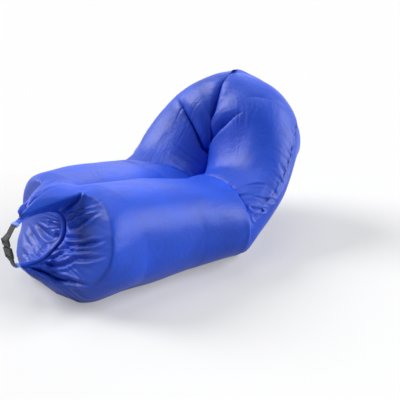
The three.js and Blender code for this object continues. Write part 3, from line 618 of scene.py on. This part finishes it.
def mesh_object(name, points, faces, uv=None):
    """A mesh from points in millimetres in the part's own frame of sizes."""
    mesh = bpy.data.meshes.new(name)
    placed = (np.asarray(points, float) - np.array([0, MIDDLE, 0])) * MM
    mesh.from_pydata(placed.tolist(), [], [list(map(int, f)) for f in faces])
    if uv is not None:
        layer = mesh.uv_layers.new(name="cloth")
        index = np.array([loop.vertex_index for loop in mesh.loops])
        layer.data.foreach_set("uv", np.asarray(uv, np.float32)[index].ravel())
    mesh.polygons.foreach_set("use_smooth", [True] * len(mesh.polygons))
    return placed_object(name, mesh)


def skin_grid(side):
    """One side's cloth as a grid, from the roll over the shoulder to the crown, and the way along it."""
    front, body = side_grids(side["crease"], side["brim"])
    body = softened(body)
    behind = np.repeat(body[:1, front.shape[1]:], len(front), axis=0)
    grid = bounded(np.concatenate([np.concatenate([front, behind], axis=1), body]))
    along = np.zeros(grid.shape[:2])
    along[1:] = np.cumsum(np.linalg.norm(np.diff(grid, axis=0), axis=2), axis=0)
    return grid, along - along[FRONT_ROWS]


def outward(grid):
    """Outward normals of a grid that is closed around."""
    around = np.roll(grid, -1, axis=1) - np.roll(grid, 1, axis=1)
    normal = np.cross(np.gradient(grid, axis=0), around)
    return normal / np.maximum(np.linalg.norm(normal, axis=2, keepdims=True), 1e-9)


def noise(a, b, seed):
    """Smooth noise of two coordinates, from -1 to 1."""
    table = np.random.default_rng(seed).uniform(-1, 1, (NOISE_CELLS, NOISE_CELLS))
    i, j = np.floor(a).astype(int), np.floor(b).astype(int)
    u, v = a - i, b - j
    u, v = u * u * (3 - 2 * u), v * v * (3 - 2 * v)

    def at(p, q):
        return table[p % NOISE_CELLS, q % NOISE_CELLS]

    near = at(i, j) * (1 - u) + at(i + 1, j) * u
    far = at(i, j + 1) * (1 - u) + at(i + 1, j + 1) * u
    return near * (1 - v) + far * v


def gathers(kind, across, along, seed):
    """Sharp-crested waves of one kind."""
    waves = noise(across / kind["across"], along / kind["along"], seed + kind["seed"])
    return kind["height"] * (1 - 2 * np.abs(waves))


def creased(across, along, path, wide, deep, ends, shoulder=FOLD_SHOULDER):
    """How deep one fold is at each point: a cusp between raised shoulders, tapered to its two ends."""
    path = np.array(path, float) * (math.radians(1) * GIRTH, 1)
    low, high = path.min(axis=0) - 2 * wide, path.max(axis=0) + 2 * wide
    inside = (across > low[0]) & (across < high[0]) & (along > low[1]) & (along < high[1])
    x, y = across[inside], along[inside]
    steps = np.linalg.norm(np.diff(path, axis=0), axis=1)
    whole = steps.sum()
    nearest = np.full(x.shape, 1e9)
    share = np.zeros(x.shape)
    before = 0.0
    for (ax, ay), (bx, by), step in zip(path[:-1], path[1:], steps):
        on = np.clip(((x - ax) * (bx - ax) + (y - ay) * (by - ay)) / step ** 2, 0, 1)
        away = np.hypot(x - ax - on * (bx - ax), y - ay - on * (by - ay))
        closer = away < nearest
        nearest = np.where(closer, away, nearest)
        share = np.where(closer, (before + on * step) / whole, share)
        before += step
    taper = np.interp(share, [0, 0.35, 0.65, 1], [ends[0], 1, 1, ends[1]])
    reached = nearest / (wide * (0.35 + 0.65 * taper))
    valley = 1 - np.sqrt(1 - np.clip(1 - reached, 0, 1) ** 2)
    raised = np.exp(-((reached - 0.85) / 0.35) ** 2)
    depth = np.zeros(across.shape)
    depth[inside] = deep * taper * (valley - shoulder * raised)
    return depth


def swelling(degree, along, side):
    """How far the cloth stands proud of the even arm, or under it, at these places."""
    height = np.zeros(np.broadcast(degree, along).shape)
    for at_degree, at_along, wide, long, most in side["swellings"]:
        away = ((degree - at_degree) / wide) ** 2 + ((along - at_along) / long) ** 2
        height += most * np.exp(-away)
    return height


def arm_swelling(angle, t, side):
    """The same at a place on the lower arm, whose angle is in radians."""
    degree = np.degrees(angle)
    return swelling(degree, np.interp(degree, *KINK_ALONG) + t * LOWER_ARM["length"], side)


def ring_gathers(across, along, angle, lengths, bend, seed):
    """Gathers that run away from the kink, the crease and the crown."""
    top = np.clip(np.cos(angle - math.pi / 2) * 2.2, 0, 1)[None, :]
    inner = np.clip(np.cos(angle - math.radians(120)) * 2.2, 0, 1)[None, :]
    near_kink = np.exp(-np.abs(along - along[KINK_ROW]) / lengths) * top
    near_crease = np.exp(-np.abs(along - along[CREASE_ROW]) / (lengths * 0.8)) * inner
    near_crown = np.exp(-(along[-1] - along) / lengths)
    move = near_kink * gathers(KINK_GATHERS, across + bend, along, seed)
    move += near_crease * gathers(CREASE_GATHERS, across + bend, along, seed)
    return move + near_crown * gathers(CROWN_GATHERS, across + bend, along, seed)


def seam_gathers(across, along, degree, rows, bend, seed):
    """Gathers and puckers beside the seam at the outer rear."""
    start = np.clip((rows - SEAM_ROWS[0]) / SEAM_FADE, 0, 1)
    on_arm = start * np.clip((SEAM_ROWS[1] - rows) / SEAM_FADE, 0, 1)
    beside = degree - REAR["seam"] * 360 / REAR["steps"]
    reach = 13 + 7 * noise(along / 14, along * 0, seed + 8)
    by_seam = on_arm * np.where(beside > 0, np.exp(-beside / reach), np.exp(beside / 2.5))
    pucker = on_arm * np.exp(-np.abs(beside) / 2.2)
    move = by_seam * gathers(SEAM_GATHERS, along + bend * 0.6, across, seed)
    return move + pucker * gathers(SEAM_PUCKERS, along, across, seed)


def roll_pleats(across, along, degree, rows, bend, seed):
    """Pleats that run away from the roll, fading out over the ridge."""
    from_roll = along - along[0]
    reach = 95 + 60 * noise(across / 30, along * 0, seed + 10)
    by_roll = np.exp(-from_roll / reach) * (rows < FRONT_ROWS + 6) * np.clip(from_roll / 14, 0, 1)
    by_roll = by_roll * np.clip((90 - degree) / 20, 0, 1)
    return by_roll * gathers(ROLL_PLEATS, across + 1.6 * bend, along, seed)


def wrinkled(grid, along, side):
    """The cloth with its soft swellings, its gathers and its folds."""
    angle = skin_angles()
    degree = np.degrees(angle)[None, :]
    across = np.broadcast_to(angle[None, :] * GIRTH, along.shape)
    rows = np.arange(len(along))[:, None]
    seed = side["seed"]
    bend = 14 * noise(across / 70, along / 90, seed + 1)
    lengths = 60 + 45 * noise(across / 24, along * 0, seed + 4)
    move = swelling(degree, along, side)
    move += 1.6 * noise(across / 95, along / 150, seed + 2) + 0.8 * noise(across / 38, along / 60, seed + 3)
    move += ring_gathers(across, along, angle, lengths, bend, seed) * (rows >= FRONT_ROWS)
    move += seam_gathers(across, along, degree, rows, bend, seed)
    move += roll_pleats(across, along, degree, rows, bend, seed)
    for fold in side["folds"]:
        move -= creased(across, along, *fold)
    edge = np.clip(rows / EDGE_ROWS, 0, 1)
    settled = grid + outward(grid) * (move * edge)[..., None]
    low = np.clip(1 - settled[..., 2] / TOE["height"], 0, 1) * (along < 0)
    settled[..., 1] += side["toe"] * np.clip(settled[..., 0] / TOE["width"], 0, 1) * low
    return settled


def quads(number, closed=False):
    """Faces of a grid of point numbers, row after row, closed around if asked."""
    after = np.roll(number, -1, axis=1)
    if not closed:
        number, after = number[:, :-1], after[:, :-1]
    return np.stack([number[:-1], number[1:], after[1:], after[:-1]], axis=-1).reshape(-1, 4)


def skin_mesh(side):
    """Points, faces and cloth coordinates of one side's skin."""
    grid, along = skin_grid(side)
    grid = wrinkled(grid, along, side)
    points = bounded(taut_below(grid)).reshape(-1, 3)
    number = np.arange(len(points)).reshape(grid.shape[:2])
    front = number[:FRONT_ROWS + 1, :OUTER_COLUMNS + 1]
    faces = np.vstack([quads(number[FRONT_ROWS:], closed=True), quads(front)])
    used = np.zeros(len(points), bool)
    used[faces] = True
    place = np.cumsum(used) - 1
    across = np.broadcast_to(skin_angles()[None, :] * GIRTH, along.shape)
    cloth = np.stack([across, along], axis=-1).reshape(-1, 2) * MM
    return points[used], place[faces].tolist(), cloth[used]


def mirror_faces(faces):
    return [tuple(reversed(f)) for f in faces]


# Materials
def material(name):
    mat = bpy.data.materials.new(name)
    mat.use_nodes = True
    nodes = mat.node_tree.nodes
    return mat, nodes, mat.node_tree.links, nodes["Principled BSDF"]


def pattern(nodes, links, kind, vector, **inputs):
    """A texture node read at a vector, with its inputs set."""
    node = nodes.new(kind)
    for name, value in inputs.items():
        node.inputs[name.title()].default_value = value
    links.new(vector, node.inputs["Vector"])
    return node


def toned(nodes, links, source, colour, shades, stops=(0.0, 1.0)):
    """The colour from its darker to its lighter shade, as the source goes from stop to stop."""
    ramp = nodes.new("ShaderNodeValToRGB")
    for element, shade, stop in zip(ramp.color_ramp.elements, shades, stops):
        element.position = stop
        element.color = (*[min(1, c * shade) for c in colour], 1)
    links.new(source, ramp.inputs["Fac"])
    return ramp.outputs["Color"]


def ranged(nodes, links, source, low, high):
    span = nodes.new("ShaderNodeMapRange")
    span.inputs["To Min"].default_value = low
    span.inputs["To Max"].default_value = high
    links.new(source, span.inputs["Value"])
    return span.outputs["Result"]


def bumped(nodes, links, height, strength, distance, under=None):
    """A bump from a height, over another bump if one is given."""
    bump = nodes.new("ShaderNodeBump")
    bump.inputs["Strength"].default_value = strength
    bump.inputs["Distance"].default_value = distance
    links.new(height, bump.inputs["Height"])
    if under is not None:
        links.new(under, bump.inputs["Normal"])
    return bump.outputs["Normal"]


def larger(nodes, links, first, second):
    """The larger of two values."""
    node = nodes.new("ShaderNodeMath")
    node.operation = "MAXIMUM"
    links.new(first, node.inputs[0])
    links.new(second, node.inputs[1])
    return node.outputs["Value"]


NOISE, WAVE = "ShaderNodeTexNoise", "ShaderNodeTexWave"
WEAVE_SCALE = 160.0
CRINKLE = dict(scale=34.0, detail=6.0, roughness=0.55, distortion=1.2)
BLUE = (0.013, 0.072, 0.58)
HEM_BLUE = (0.16, 0.27, 0.75)
SEAM_BLUE = (0.02, 0.055, 0.36)
BLACK_WEBBING = (0.012, 0.012, 0.013)
BLACK_PLASTIC = (0.016, 0.016, 0.018)
PALE_PLASTIC = (0.6, 0.61, 0.63)


def nylon(name, colour, roughness=0.42):
    """Coated nylon: a fine square ripstop weave, small crinkles, and slow changes of tone and gloss."""
    mat, nodes, links, shader = material(name)
    place = nodes.new("ShaderNodeTexCoord").outputs
    broad = pattern(nodes, links, NOISE, place["Object"], scale=7.0, detail=5.0).outputs["Fac"]
    links.new(toned(nodes, links, broad, colour, (0.86, 1.1), (0.35, 0.65)), shader.inputs["Base Color"])
    links.new(ranged(nodes, links, broad, roughness - 0.06, roughness + 0.08), shader.inputs["Roughness"])
    shader.inputs["Specular IOR Level"].default_value = 0.3
    crinkle = pattern(nodes, links, NOISE, place["Object"], **CRINKLE).outputs["Fac"]
    threads = []
    for direction in ("X", "Y"):
        thread = pattern(nodes, links, WAVE, place["UV"], scale=WEAVE_SCALE)
        thread.bands_direction = direction
        threads.append(thread.outputs["Fac"])
    crinkled = bumped(nodes, links, crinkle, 0.5, 0.003)
    weave = bumped(nodes, links, larger(nodes, links, *threads), 0.3, 0.0002, crinkled)
    links.new(weave, shader.inputs["Normal"])
    return mat


def woven(name, colour, pitch):
    """Coarse webbing: ribs across the strap, with painted shade between them and a painted highlight on
    their crests.
    """
    mat, nodes, links, shader = material(name)
    place = nodes.new("ShaderNodeTexCoord").outputs
    ribs = pattern(nodes, links, WAVE, place["UV"], scale=1 / pitch, distortion=1.5, detail=2.0)
    ribs.bands_direction = "DIAGONAL"
    height = ribs.outputs["Fac"]
    # The strap's colour follows the ribs' height: painted shade in the grooves between them, a painted
    # highlight on their crests
    links.new(toned(nodes, links, height, colour, (0.5, 1.5)), shader.inputs["Base Color"])
    shader.inputs["Roughness"].default_value = 0.72
    shader.inputs["Sheen Weight"].default_value = 0.3
    links.new(bumped(nodes, links, height, 0.6, 0.0006), shader.inputs["Normal"])
    return mat


def moulded(name, colour, roughness):
    """Moulded plastic: a fine spark-eroded grain and faint rubbed patches."""
    mat, nodes, links, shader = material(name)
    place = nodes.new("ShaderNodeTexCoord").outputs
    grain = pattern(nodes, links, NOISE, place["Object"], scale=1400.0, detail=3.0).outputs["Fac"]
    rubbed = pattern(nodes, links, NOISE, place["Object"], scale=60.0).outputs["Fac"]
    links.new(ranged(nodes, links, rubbed, roughness - 0.1, roughness + 0.12), shader.inputs["Roughness"])
    links.new(toned(nodes, links, rubbed, colour, (0.8, 1.3)), shader.inputs["Base Color"])
    links.new(bumped(nodes, links, grain, 0.15, 0.0002), shader.inputs["Normal"])
    return mat


skin_blue = nylon("nylon_skin", BLUE)
hem_blue = nylon("nylon_hem", HEM_BLUE, 0.5)
seam_blue = nylon("nylon_seam", SEAM_BLUE, 0.55)
black_webbing = woven("webbing_black", BLACK_WEBBING, 0.0024)
black_plastic = moulded("plastic_black", BLACK_PLASTIC, 0.36)
pale_strip = moulded("strip_pale", PALE_PLASTIC, 0.5)


# The cloth of the two sides
points, faces, cloth = skin_mesh(LEFT_SIDE)
left = mesh_object("skin_left", points, faces, cloth)
points, faces, cloth = skin_mesh(RIGHT_SIDE)
right = mesh_object("skin_right", points * MIRROR, mirror_faces(faces), cloth)
for side, skin in (("left", left), ("right", right)):
    skin.data.materials.append(skin_blue)
    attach(skin, "lounger")
    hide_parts(f"seat_tube_{side}", f"back_lower_{side}", f"back_upper_{side}", f"front_panel_{side}")


def grid_uv(grid):
    """Cloth coordinates in metres: across the columns, then down the rows."""
    across = np.linalg.norm(np.diff(grid, axis=1), axis=2).mean(axis=0)
    down = np.linalg.norm(np.diff(grid, axis=0), axis=2).mean(axis=1)
    u = np.concatenate([[0], np.cumsum(across)]) * MM
    v = np.concatenate([[0], np.cumsum(down)]) * MM
    return np.stack(np.broadcast_arrays(u[None, :], v[:, None]), axis=-1).reshape(-1, 2)


def grid_object(name, grid, closed=False, caps=False, turned_over=False):
    """An object from a grid of points, with its two ends capped if asked."""
    rows, columns = grid.shape[:2]
    faces = quads(np.arange(rows * columns).reshape(rows, columns), closed).tolist()
    if caps:
        faces.append(list(range(columns)))
        faces.append(list(range((rows - 1) * columns, rows * columns))[::-1])
    if turned_over:
        faces = mirror_faces(faces)
    return mesh_object(name, grid.reshape(-1, 3), faces, grid_uv(grid))


def dressed(obj, body, paint, slot_name, *nodes):
    """Gives a piece its material and body, and hides the nodes it stands for."""
    obj.data.materials.append(paint)
    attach(obj, body)
    if nodes:
        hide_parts(*nodes)
    return obj


def arm_normals(arm, t, angle):
    """Outward normals of an arm at angles round it."""
    low, high = max(0, t - SMALL_STEP), min(1, t + SMALL_STEP)
    around = arm_ring(arm, t, angle + SMALL_STEP) - arm_ring(arm, t, angle - SMALL_STEP)
    along = arm_ring(arm, high, angle) - arm_ring(arm, low, angle)
    normal = np.cross(along, around)
    return normal / np.linalg.norm(normal, axis=1, keepdims=True)


def rear_grid():
    """The smooth panel down the back: on both arms by its seams, spanning the valley between them."""
    angle = circle(REAR["samples"])
    shares = np.linspace(0, 1, REAR["samples"] + 1)
    rings = [arm_ring(arm, t, angle) for arm in (LOWER_ARM, UPPER_ARM) for t in shares]
    samples = bounded(np.vstack(rings))
    step = 2 * math.pi / REAR["steps"]
    ring = np.linspace(REAR["first"], REAR["last"], REAR_ROWS + 1) / REAR["rings"]
    rows = []
    for t in (1 - np.cos(np.pi * ring)) / 2:
        angles = np.linspace(REAR["inner"], REAR["seam"], REAR_COLUMNS + 1) * step
        normal = arm_normals(LOWER_ARM, t, angles)
        on_arm = arm_ring(LOWER_ARM, t, angles) + normal * REAR["clearance"]
        level = np.argmin(np.abs(normal[:, 0]))
        facing = np.array([0, normal[level, 1], normal[level, 2]])
        facing /= np.linalg.norm(facing)
        crest = 1 + int(np.argmax(on_arm[1:] @ facing))
        half = on_arm.copy()
        for k in range(crest + 1):
            point = on_arm[crest] * np.array([k / crest, 1, 1])
            offset = samples - point
            height = offset @ facing
            aside = np.linalg.norm(offset - height[:, None] * facing, axis=1)
            near = aside < REAR["window"]
            lift = max(0.0, height[near].max()) if near.any() else 0.0
            half[k] = point + facing * (lift + REAR["bridge"])
        swells = np.clip((np.degrees(angles) - REAR_SWELLS["start"]) / REAR_SWELLS["fade"], 0, 1)
        out = normal * swells[:, None]
        near = half + out * arm_swelling(angles, t, LEFT_SIDE)[:, None]
        far = half + out * arm_swelling(angles, t, RIGHT_SIDE)[:, None]
        rows.append(np.vstack([(far[1:] * MIRROR)[::-1], near]))
    return evened(np.array(rows), **REAR_SMOOTHING)


rear = rear_grid()
rear[..., 2] = np.maximum(rear[..., 2], 0)
rear_panel = grid_object("rear_panel_skin", rear)
dressed(rear_panel, "lounger", skin_blue, "nylon", "rear_panel")


def side_seam_grid(shape):
    """The piping beside the rear panel, which follows the swellings of the cloth."""
    step = 2 * math.pi / REAR["steps"]
    ring = np.linspace(REAR["first"], REAR["last"], 4 * REAR_ROWS + 1) / REAR["rings"]
    around = circle(PIPING["sides"])
    rows = []
    for t in (1 - np.cos(np.pi * ring)) / 2:
        edge, beyond = arm_ring(LOWER_ARM, t, np.array([REAR["seam"], REAR["seam"] + 1]) * step)
        sideways = (beyond - edge) / np.linalg.norm(beyond - edge)
        normal = arm_normals(LOWER_ARM, t, np.array([REAR["seam"] * step]))[0]
        reach = PIPING["radius"] * float(np.interp(len(rows), *PIPING_TAPER))
        lift = reach + PIPING["clearance"] + float(arm_swelling(np.array(REAR["seam"] * step), t, shape))
        centre = edge + sideways * (PIPING["radius"] + PIPING["gap"]) + normal * lift
        turn = np.cos(around)[:, None] * normal + np.sin(around)[:, None] * sideways
        rows.append(centre + reach * turn)
    return np.array(rows)


for side, hand, shape in (("left", 1, LEFT_SIDE), ("right", -1, RIGHT_SIDE)):
    seam = side_seam_grid(shape) * np.array([hand, 1, 1])
    obj = grid_object(f"gathered_seam_{side}", seam, closed=True, caps=True, turned_over=hand < 0)
    dressed(obj, "lounger", seam_blue, "piping", f"side_seam_{side}")


def mouth_ring(u, half_wide, half_thick, angle):
    """A flattened ring round the path of the mouth."""
    centre, _, outward = MOUTH.frame(u)
    across = half_wide * np.cos(angle)[:, None] * AXIS_X
    return centre + across + half_thick * np.sin(angle)[:, None] * outward


def rolled_mouth():
    """The roll, with the step that its outer turn makes along its length."""
    angle = circle(ROLL_SIDES)
    step = 1 - ROLL_STEP * ((angle - ROLL_EDGE) % (2 * math.pi)) / (2 * math.pi)
    grid = []
    for u in np.linspace(0, 1, ROLL_ROWS + 1):
        thick, wide = roll_half(u)
        ring = mouth_ring(u, wide, thick, angle)
        centre = MOUTH.point(u)
        grid.append(centre + (ring - centre) * step[:, None])
    return np.array(grid)


roll = grid_object("mouth_roll_cloth", rolled_mouth(), closed=True, caps=True)
dressed(roll, "lounger", skin_blue, "nylon", "mouth_roll")

for name, tip, inward in (("upper", 0.0, 1), ("lower", 1.0, -1)):
    angle = circle(ROLL_SIDES)
    rings = []
    for along, share in CUFF_PROFILE:
        u = tip + inward * max(0.0, along) / MOUTH.length
        thick, wide = roll_half(u)
        ring = mouth_ring(u, wide + CUFF_PROUD * share, thick + CUFF_PROUD * share, angle)
        _, forward, _ = MOUTH.frame(u)
        rings.append(ring + forward * inward * min(0.0, along))
    cuff = grid_object(f"end_hem_{name}", np.array(rings), closed=True, caps=True, turned_over=inward < 0)
    dressed(cuff, "lounger", hem_blue, "hem", f"end_cuff_{name}")


def ribbon_grid(line, width, thick):
    """A flat strap in the middle plane along (Y, Z) points, with rounded edges."""
    line = np.array(line)
    for _ in range(2):
        cut_in = 0.75 * line[:-1] + 0.25 * line[1:]
        cut_out = 0.25 * line[:-1] + 0.75 * line[1:]
        line = np.vstack([line[:1], np.stack([cut_in, cut_out], axis=1).reshape(-1, 2), line[-1:]])
    along = np.gradient(line, axis=0)
    along /= np.linalg.norm(along, axis=1, keepdims=True)
    out = np.stack([-along[:, 1], along[:, 0]], axis=1)
    half, depth = width / 2, thick / 2
    upper = [(half, 0), (half - 0.2, 0.75), (half - 0.9, 1), (half / 2, 0.9), (0, 0.85)]
    upper += [(-x, lift) for x, lift in upper[-2::-1]]
    profile = upper + [(x, -lift) for x, lift in upper[-2:0:-1]]
    rows = []
    for place, side in zip(line, out):
        rows.append([(x, *(place + side * lift * depth)) for x, lift in profile])
    return np.array(rows)


BAR = np.array([BUCKLE["bar_y"], BUCKLE["bar_z"]], float)
BUCKLE_ALONG = np.array([BUCKLE["toward_y"], BUCKLE["toward_z"]], float) - BAR
BUCKLE_ALONG /= np.linalg.norm(BUCKLE_ALONG)
LOWER_BAR = BAR + BUCKLE_ALONG * BUCKLE["lower_bar"]


def strap_line(tip, out_of, bar_at, hand):
    """A strap's middle line from the tip of the roll, round a bar of the buckle and back over itself."""
    start = tip + out_of * WEBBING["tip_gap"]
    lead = start + out_of * WEBBING["lead"]
    to_bar = bar_at - lead
    span = np.linalg.norm(to_bar)
    to_bar /= span
    side = np.array([-to_bar[1], to_bar[0]]) * hand
    turn = BUCKLE["bar"] + BUCKLE["bar_gap"] + WEBBING["thick"] / 2
    line = [start, lead]
    for angle in np.linspace(0, math.pi, WEBBING["turn_steps"] + 1):
        line.append(lead + to_bar * (span + turn * math.sin(angle)) + side * turn * math.cos(angle))
    meet = span - WEBBING["overlap"]
    aside = turn * meet / span - WEBBING["thick"] - WEBBING["layer_gap"]
    line.append(lead + to_bar * meet + side * aside)
    return line


for name, u, bar_at, hand in (("upper", 0.0, BAR, 1), ("lower", 1.0, LOWER_BAR, -1)):
    centre, forward, _ = MOUTH.frame(u)
    tip, out_of = centre[1:], forward[1:] * (-1 if u == 0 else 1)
    grid = ribbon_grid(strap_line(tip, out_of, bar_at, hand), WEBBING["width"], WEBBING["thick"])
    strap = grid_object(f"webbing_{name}", grid, closed=True, caps=True)
    strap.data.materials.append(black_webbing)
    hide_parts(f"strap_{name}")
    if name == "upper":
        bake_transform(strap)
    else:
        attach(strap, "lounger")


def tab_grid():
    """The closing seam's tab, standing up in the notch at the peak."""
    angle = circle(360)
    ring = arm_ring(UPPER_ARM, 1, angle)
    top = ring[np.argmax(ring[:, 2])]
    up = top[1:] - np.array([CROWN["y"], CROWN["z"]])
    up /= np.linalg.norm(up)
    across = np.array([up[1], -up[0]])
    sides = circle(TAB["sides"])
    rows = []
    for share in np.linspace(0, 1, TAB["rows"] + 1):
        half = (TAB["foot_wide"] * (1 - share) + TAB["top_wide"] * share) / 2
        half *= 1 - TAB_CORNERS["wide"] * share ** 6
        turn = TAB_LEAN * share ** 1.5
        height = TAB["foot"] + TAB["height"] * share * math.cos(turn)
        thick = TAB["thick"] / 2 * (1 - TAB_CORNERS["thick"] * share ** 4)
        place = top[1:] + up * height
        wave = TAB_WAVE["height"] * share * np.sin(TAB_WAVE["turns"] * np.cos(sides) + TAB_WAVE["shift"])
        aside = TAB["height"] * share * math.sin(turn) * TAB_WAVE["aside"]
        rows.append(np.stack([
            thick * np.sin(sides) + wave + aside,
            place[0] + across[0] * half * np.cos(sides),
            place[1] + across[1] * half * np.cos(sides),
        ], axis=1))
    return np.array(rows)


tab = grid_object("peak_tab", tab_grid(), closed=True, caps=True)
dressed(tab, "lounger", seam_blue, "hem", "peak_seam_tab")

for name in ("buckle_male", "buckle_female", "latch_arm_left", "latch_arm_right"):
    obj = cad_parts[name]
    obj.data.materials.clear()
    obj.data.materials.append(black_plastic)
    soften = obj.modifiers.new("edges", "BEVEL")
    soften.width = BUCKLE_EDGE
    soften.segments = 2
    soften.limit_method = "ANGLE"
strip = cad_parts["mouth_stiffener"]
strip.data.materials.clear()
strip.data.materials.append(pale_strip)


# Camera, floor and light
FLOOR_DROP = 0.0005
EYE = Vector((1.494, -1.209 - MIDDLE * MM, 0.992))
PITCH, YAW = math.radians(19.6), math.radians(37.2)
FOCAL_PIXELS, IMAGE_PIXELS, SENSOR = 600, 400, 36

camera = placed_object("camera", bpy.data.cameras.new("camera"))
camera.data.sensor_width = SENSOR
camera.data.lens = SENSOR * FOCAL_PIXELS / IMAGE_PIXELS
camera.location = EYE
look = Vector((-math.sin(YAW) * math.cos(PITCH), math.cos(YAW) * math.cos(PITCH), -math.sin(PITCH)))
camera.rotation_euler = look.to_track_quat("-Z", "Y").to_euler()
bpy.context.scene.camera = camera


def sun(name, towards, angle, strength):
    """A wide distant light that shines from the direction given."""
    lamp = bpy.data.lights.new(name, "SUN")
    lamp.energy = strength
    lamp.angle = math.radians(angle)
    obj = placed_object(name, lamp)
    obj.rotation_euler = Vector(towards).to_track_quat("Z", "Y").to_euler()


FLOOR_SHADE = 0.5
FLOOR_LIFT = 0.30
FLOOR_REACH = 80.0

sun("right", towards=(0.70, 0.52, 0.49), angle=46, strength=3.3)
sun("left", towards=(-0.76, -0.24, 0.60), angle=34, strength=3.1)
sun("top", towards=(-0.15, 0.20, 0.97), angle=40, strength=0.8)
sun("rim", towards=(-0.47, 0.75, 0.47), angle=20, strength=0.2)


def seen_directly(nodes, links):
    """One for rays from the camera and for reflected and refracted ones, otherwise nothing."""
    rays = nodes.new("ShaderNodeLightPath").outputs
    either = larger(nodes, links, rays["Is Camera Ray"], rays["Is Glossy Ray"])
    return larger(nodes, links, either, rays["Is Transmission Ray"])


world = bpy.data.worlds.new("world")
bpy.context.scene.world = world
world.use_nodes = True
nodes, links = world.node_tree.nodes, world.node_tree.links
background = nodes["Background"]
background.inputs["Color"].default_value = (1, 1, 1, 1)
links.new(seen_directly(nodes, links), background.inputs["Strength"])

floor_mesh = bpy.data.meshes.new("floor")
corners = [(x * FLOOR_REACH, y * FLOOR_REACH, 0) for x, y in ((-1, -1), (1, -1), (1, 1), (-1, 1))]
floor_mesh.from_pydata(corners, [], [(0, 1, 2, 3)])
floor = placed_object("floor", floor_mesh)
floor.location.z = -FLOOR_DROP
floor_mat, nodes, links, shader = material("floor_paper")
shader.inputs["Base Color"].default_value = (FLOOR_SHADE, FLOOR_SHADE, FLOOR_SHADE, 1)
shader.inputs["Roughness"].default_value = 0.9
shader.inputs["Specular IOR Level"].default_value = 0.0
lift = nodes.new("ShaderNodeMath")
lift.operation = "MULTIPLY"
lift.inputs[1].default_value = FLOOR_LIFT
links.new(seen_directly(nodes, links), lift.inputs[0])
glow = nodes.new("ShaderNodeEmission")
links.new(lift.outputs["Value"], glow.inputs["Strength"])
both = nodes.new("ShaderNodeAddShader")
links.new(shader.outputs["BSDF"], both.inputs[0])
links.new(glow.outputs["Emission"], both.inputs[1])
links.new(both.outputs["Shader"], nodes["Material Output"].inputs["Surface"])
floor.data.materials.append(floor_mat)

bpy.context.scene.view_settings.view_transform = "Standard"
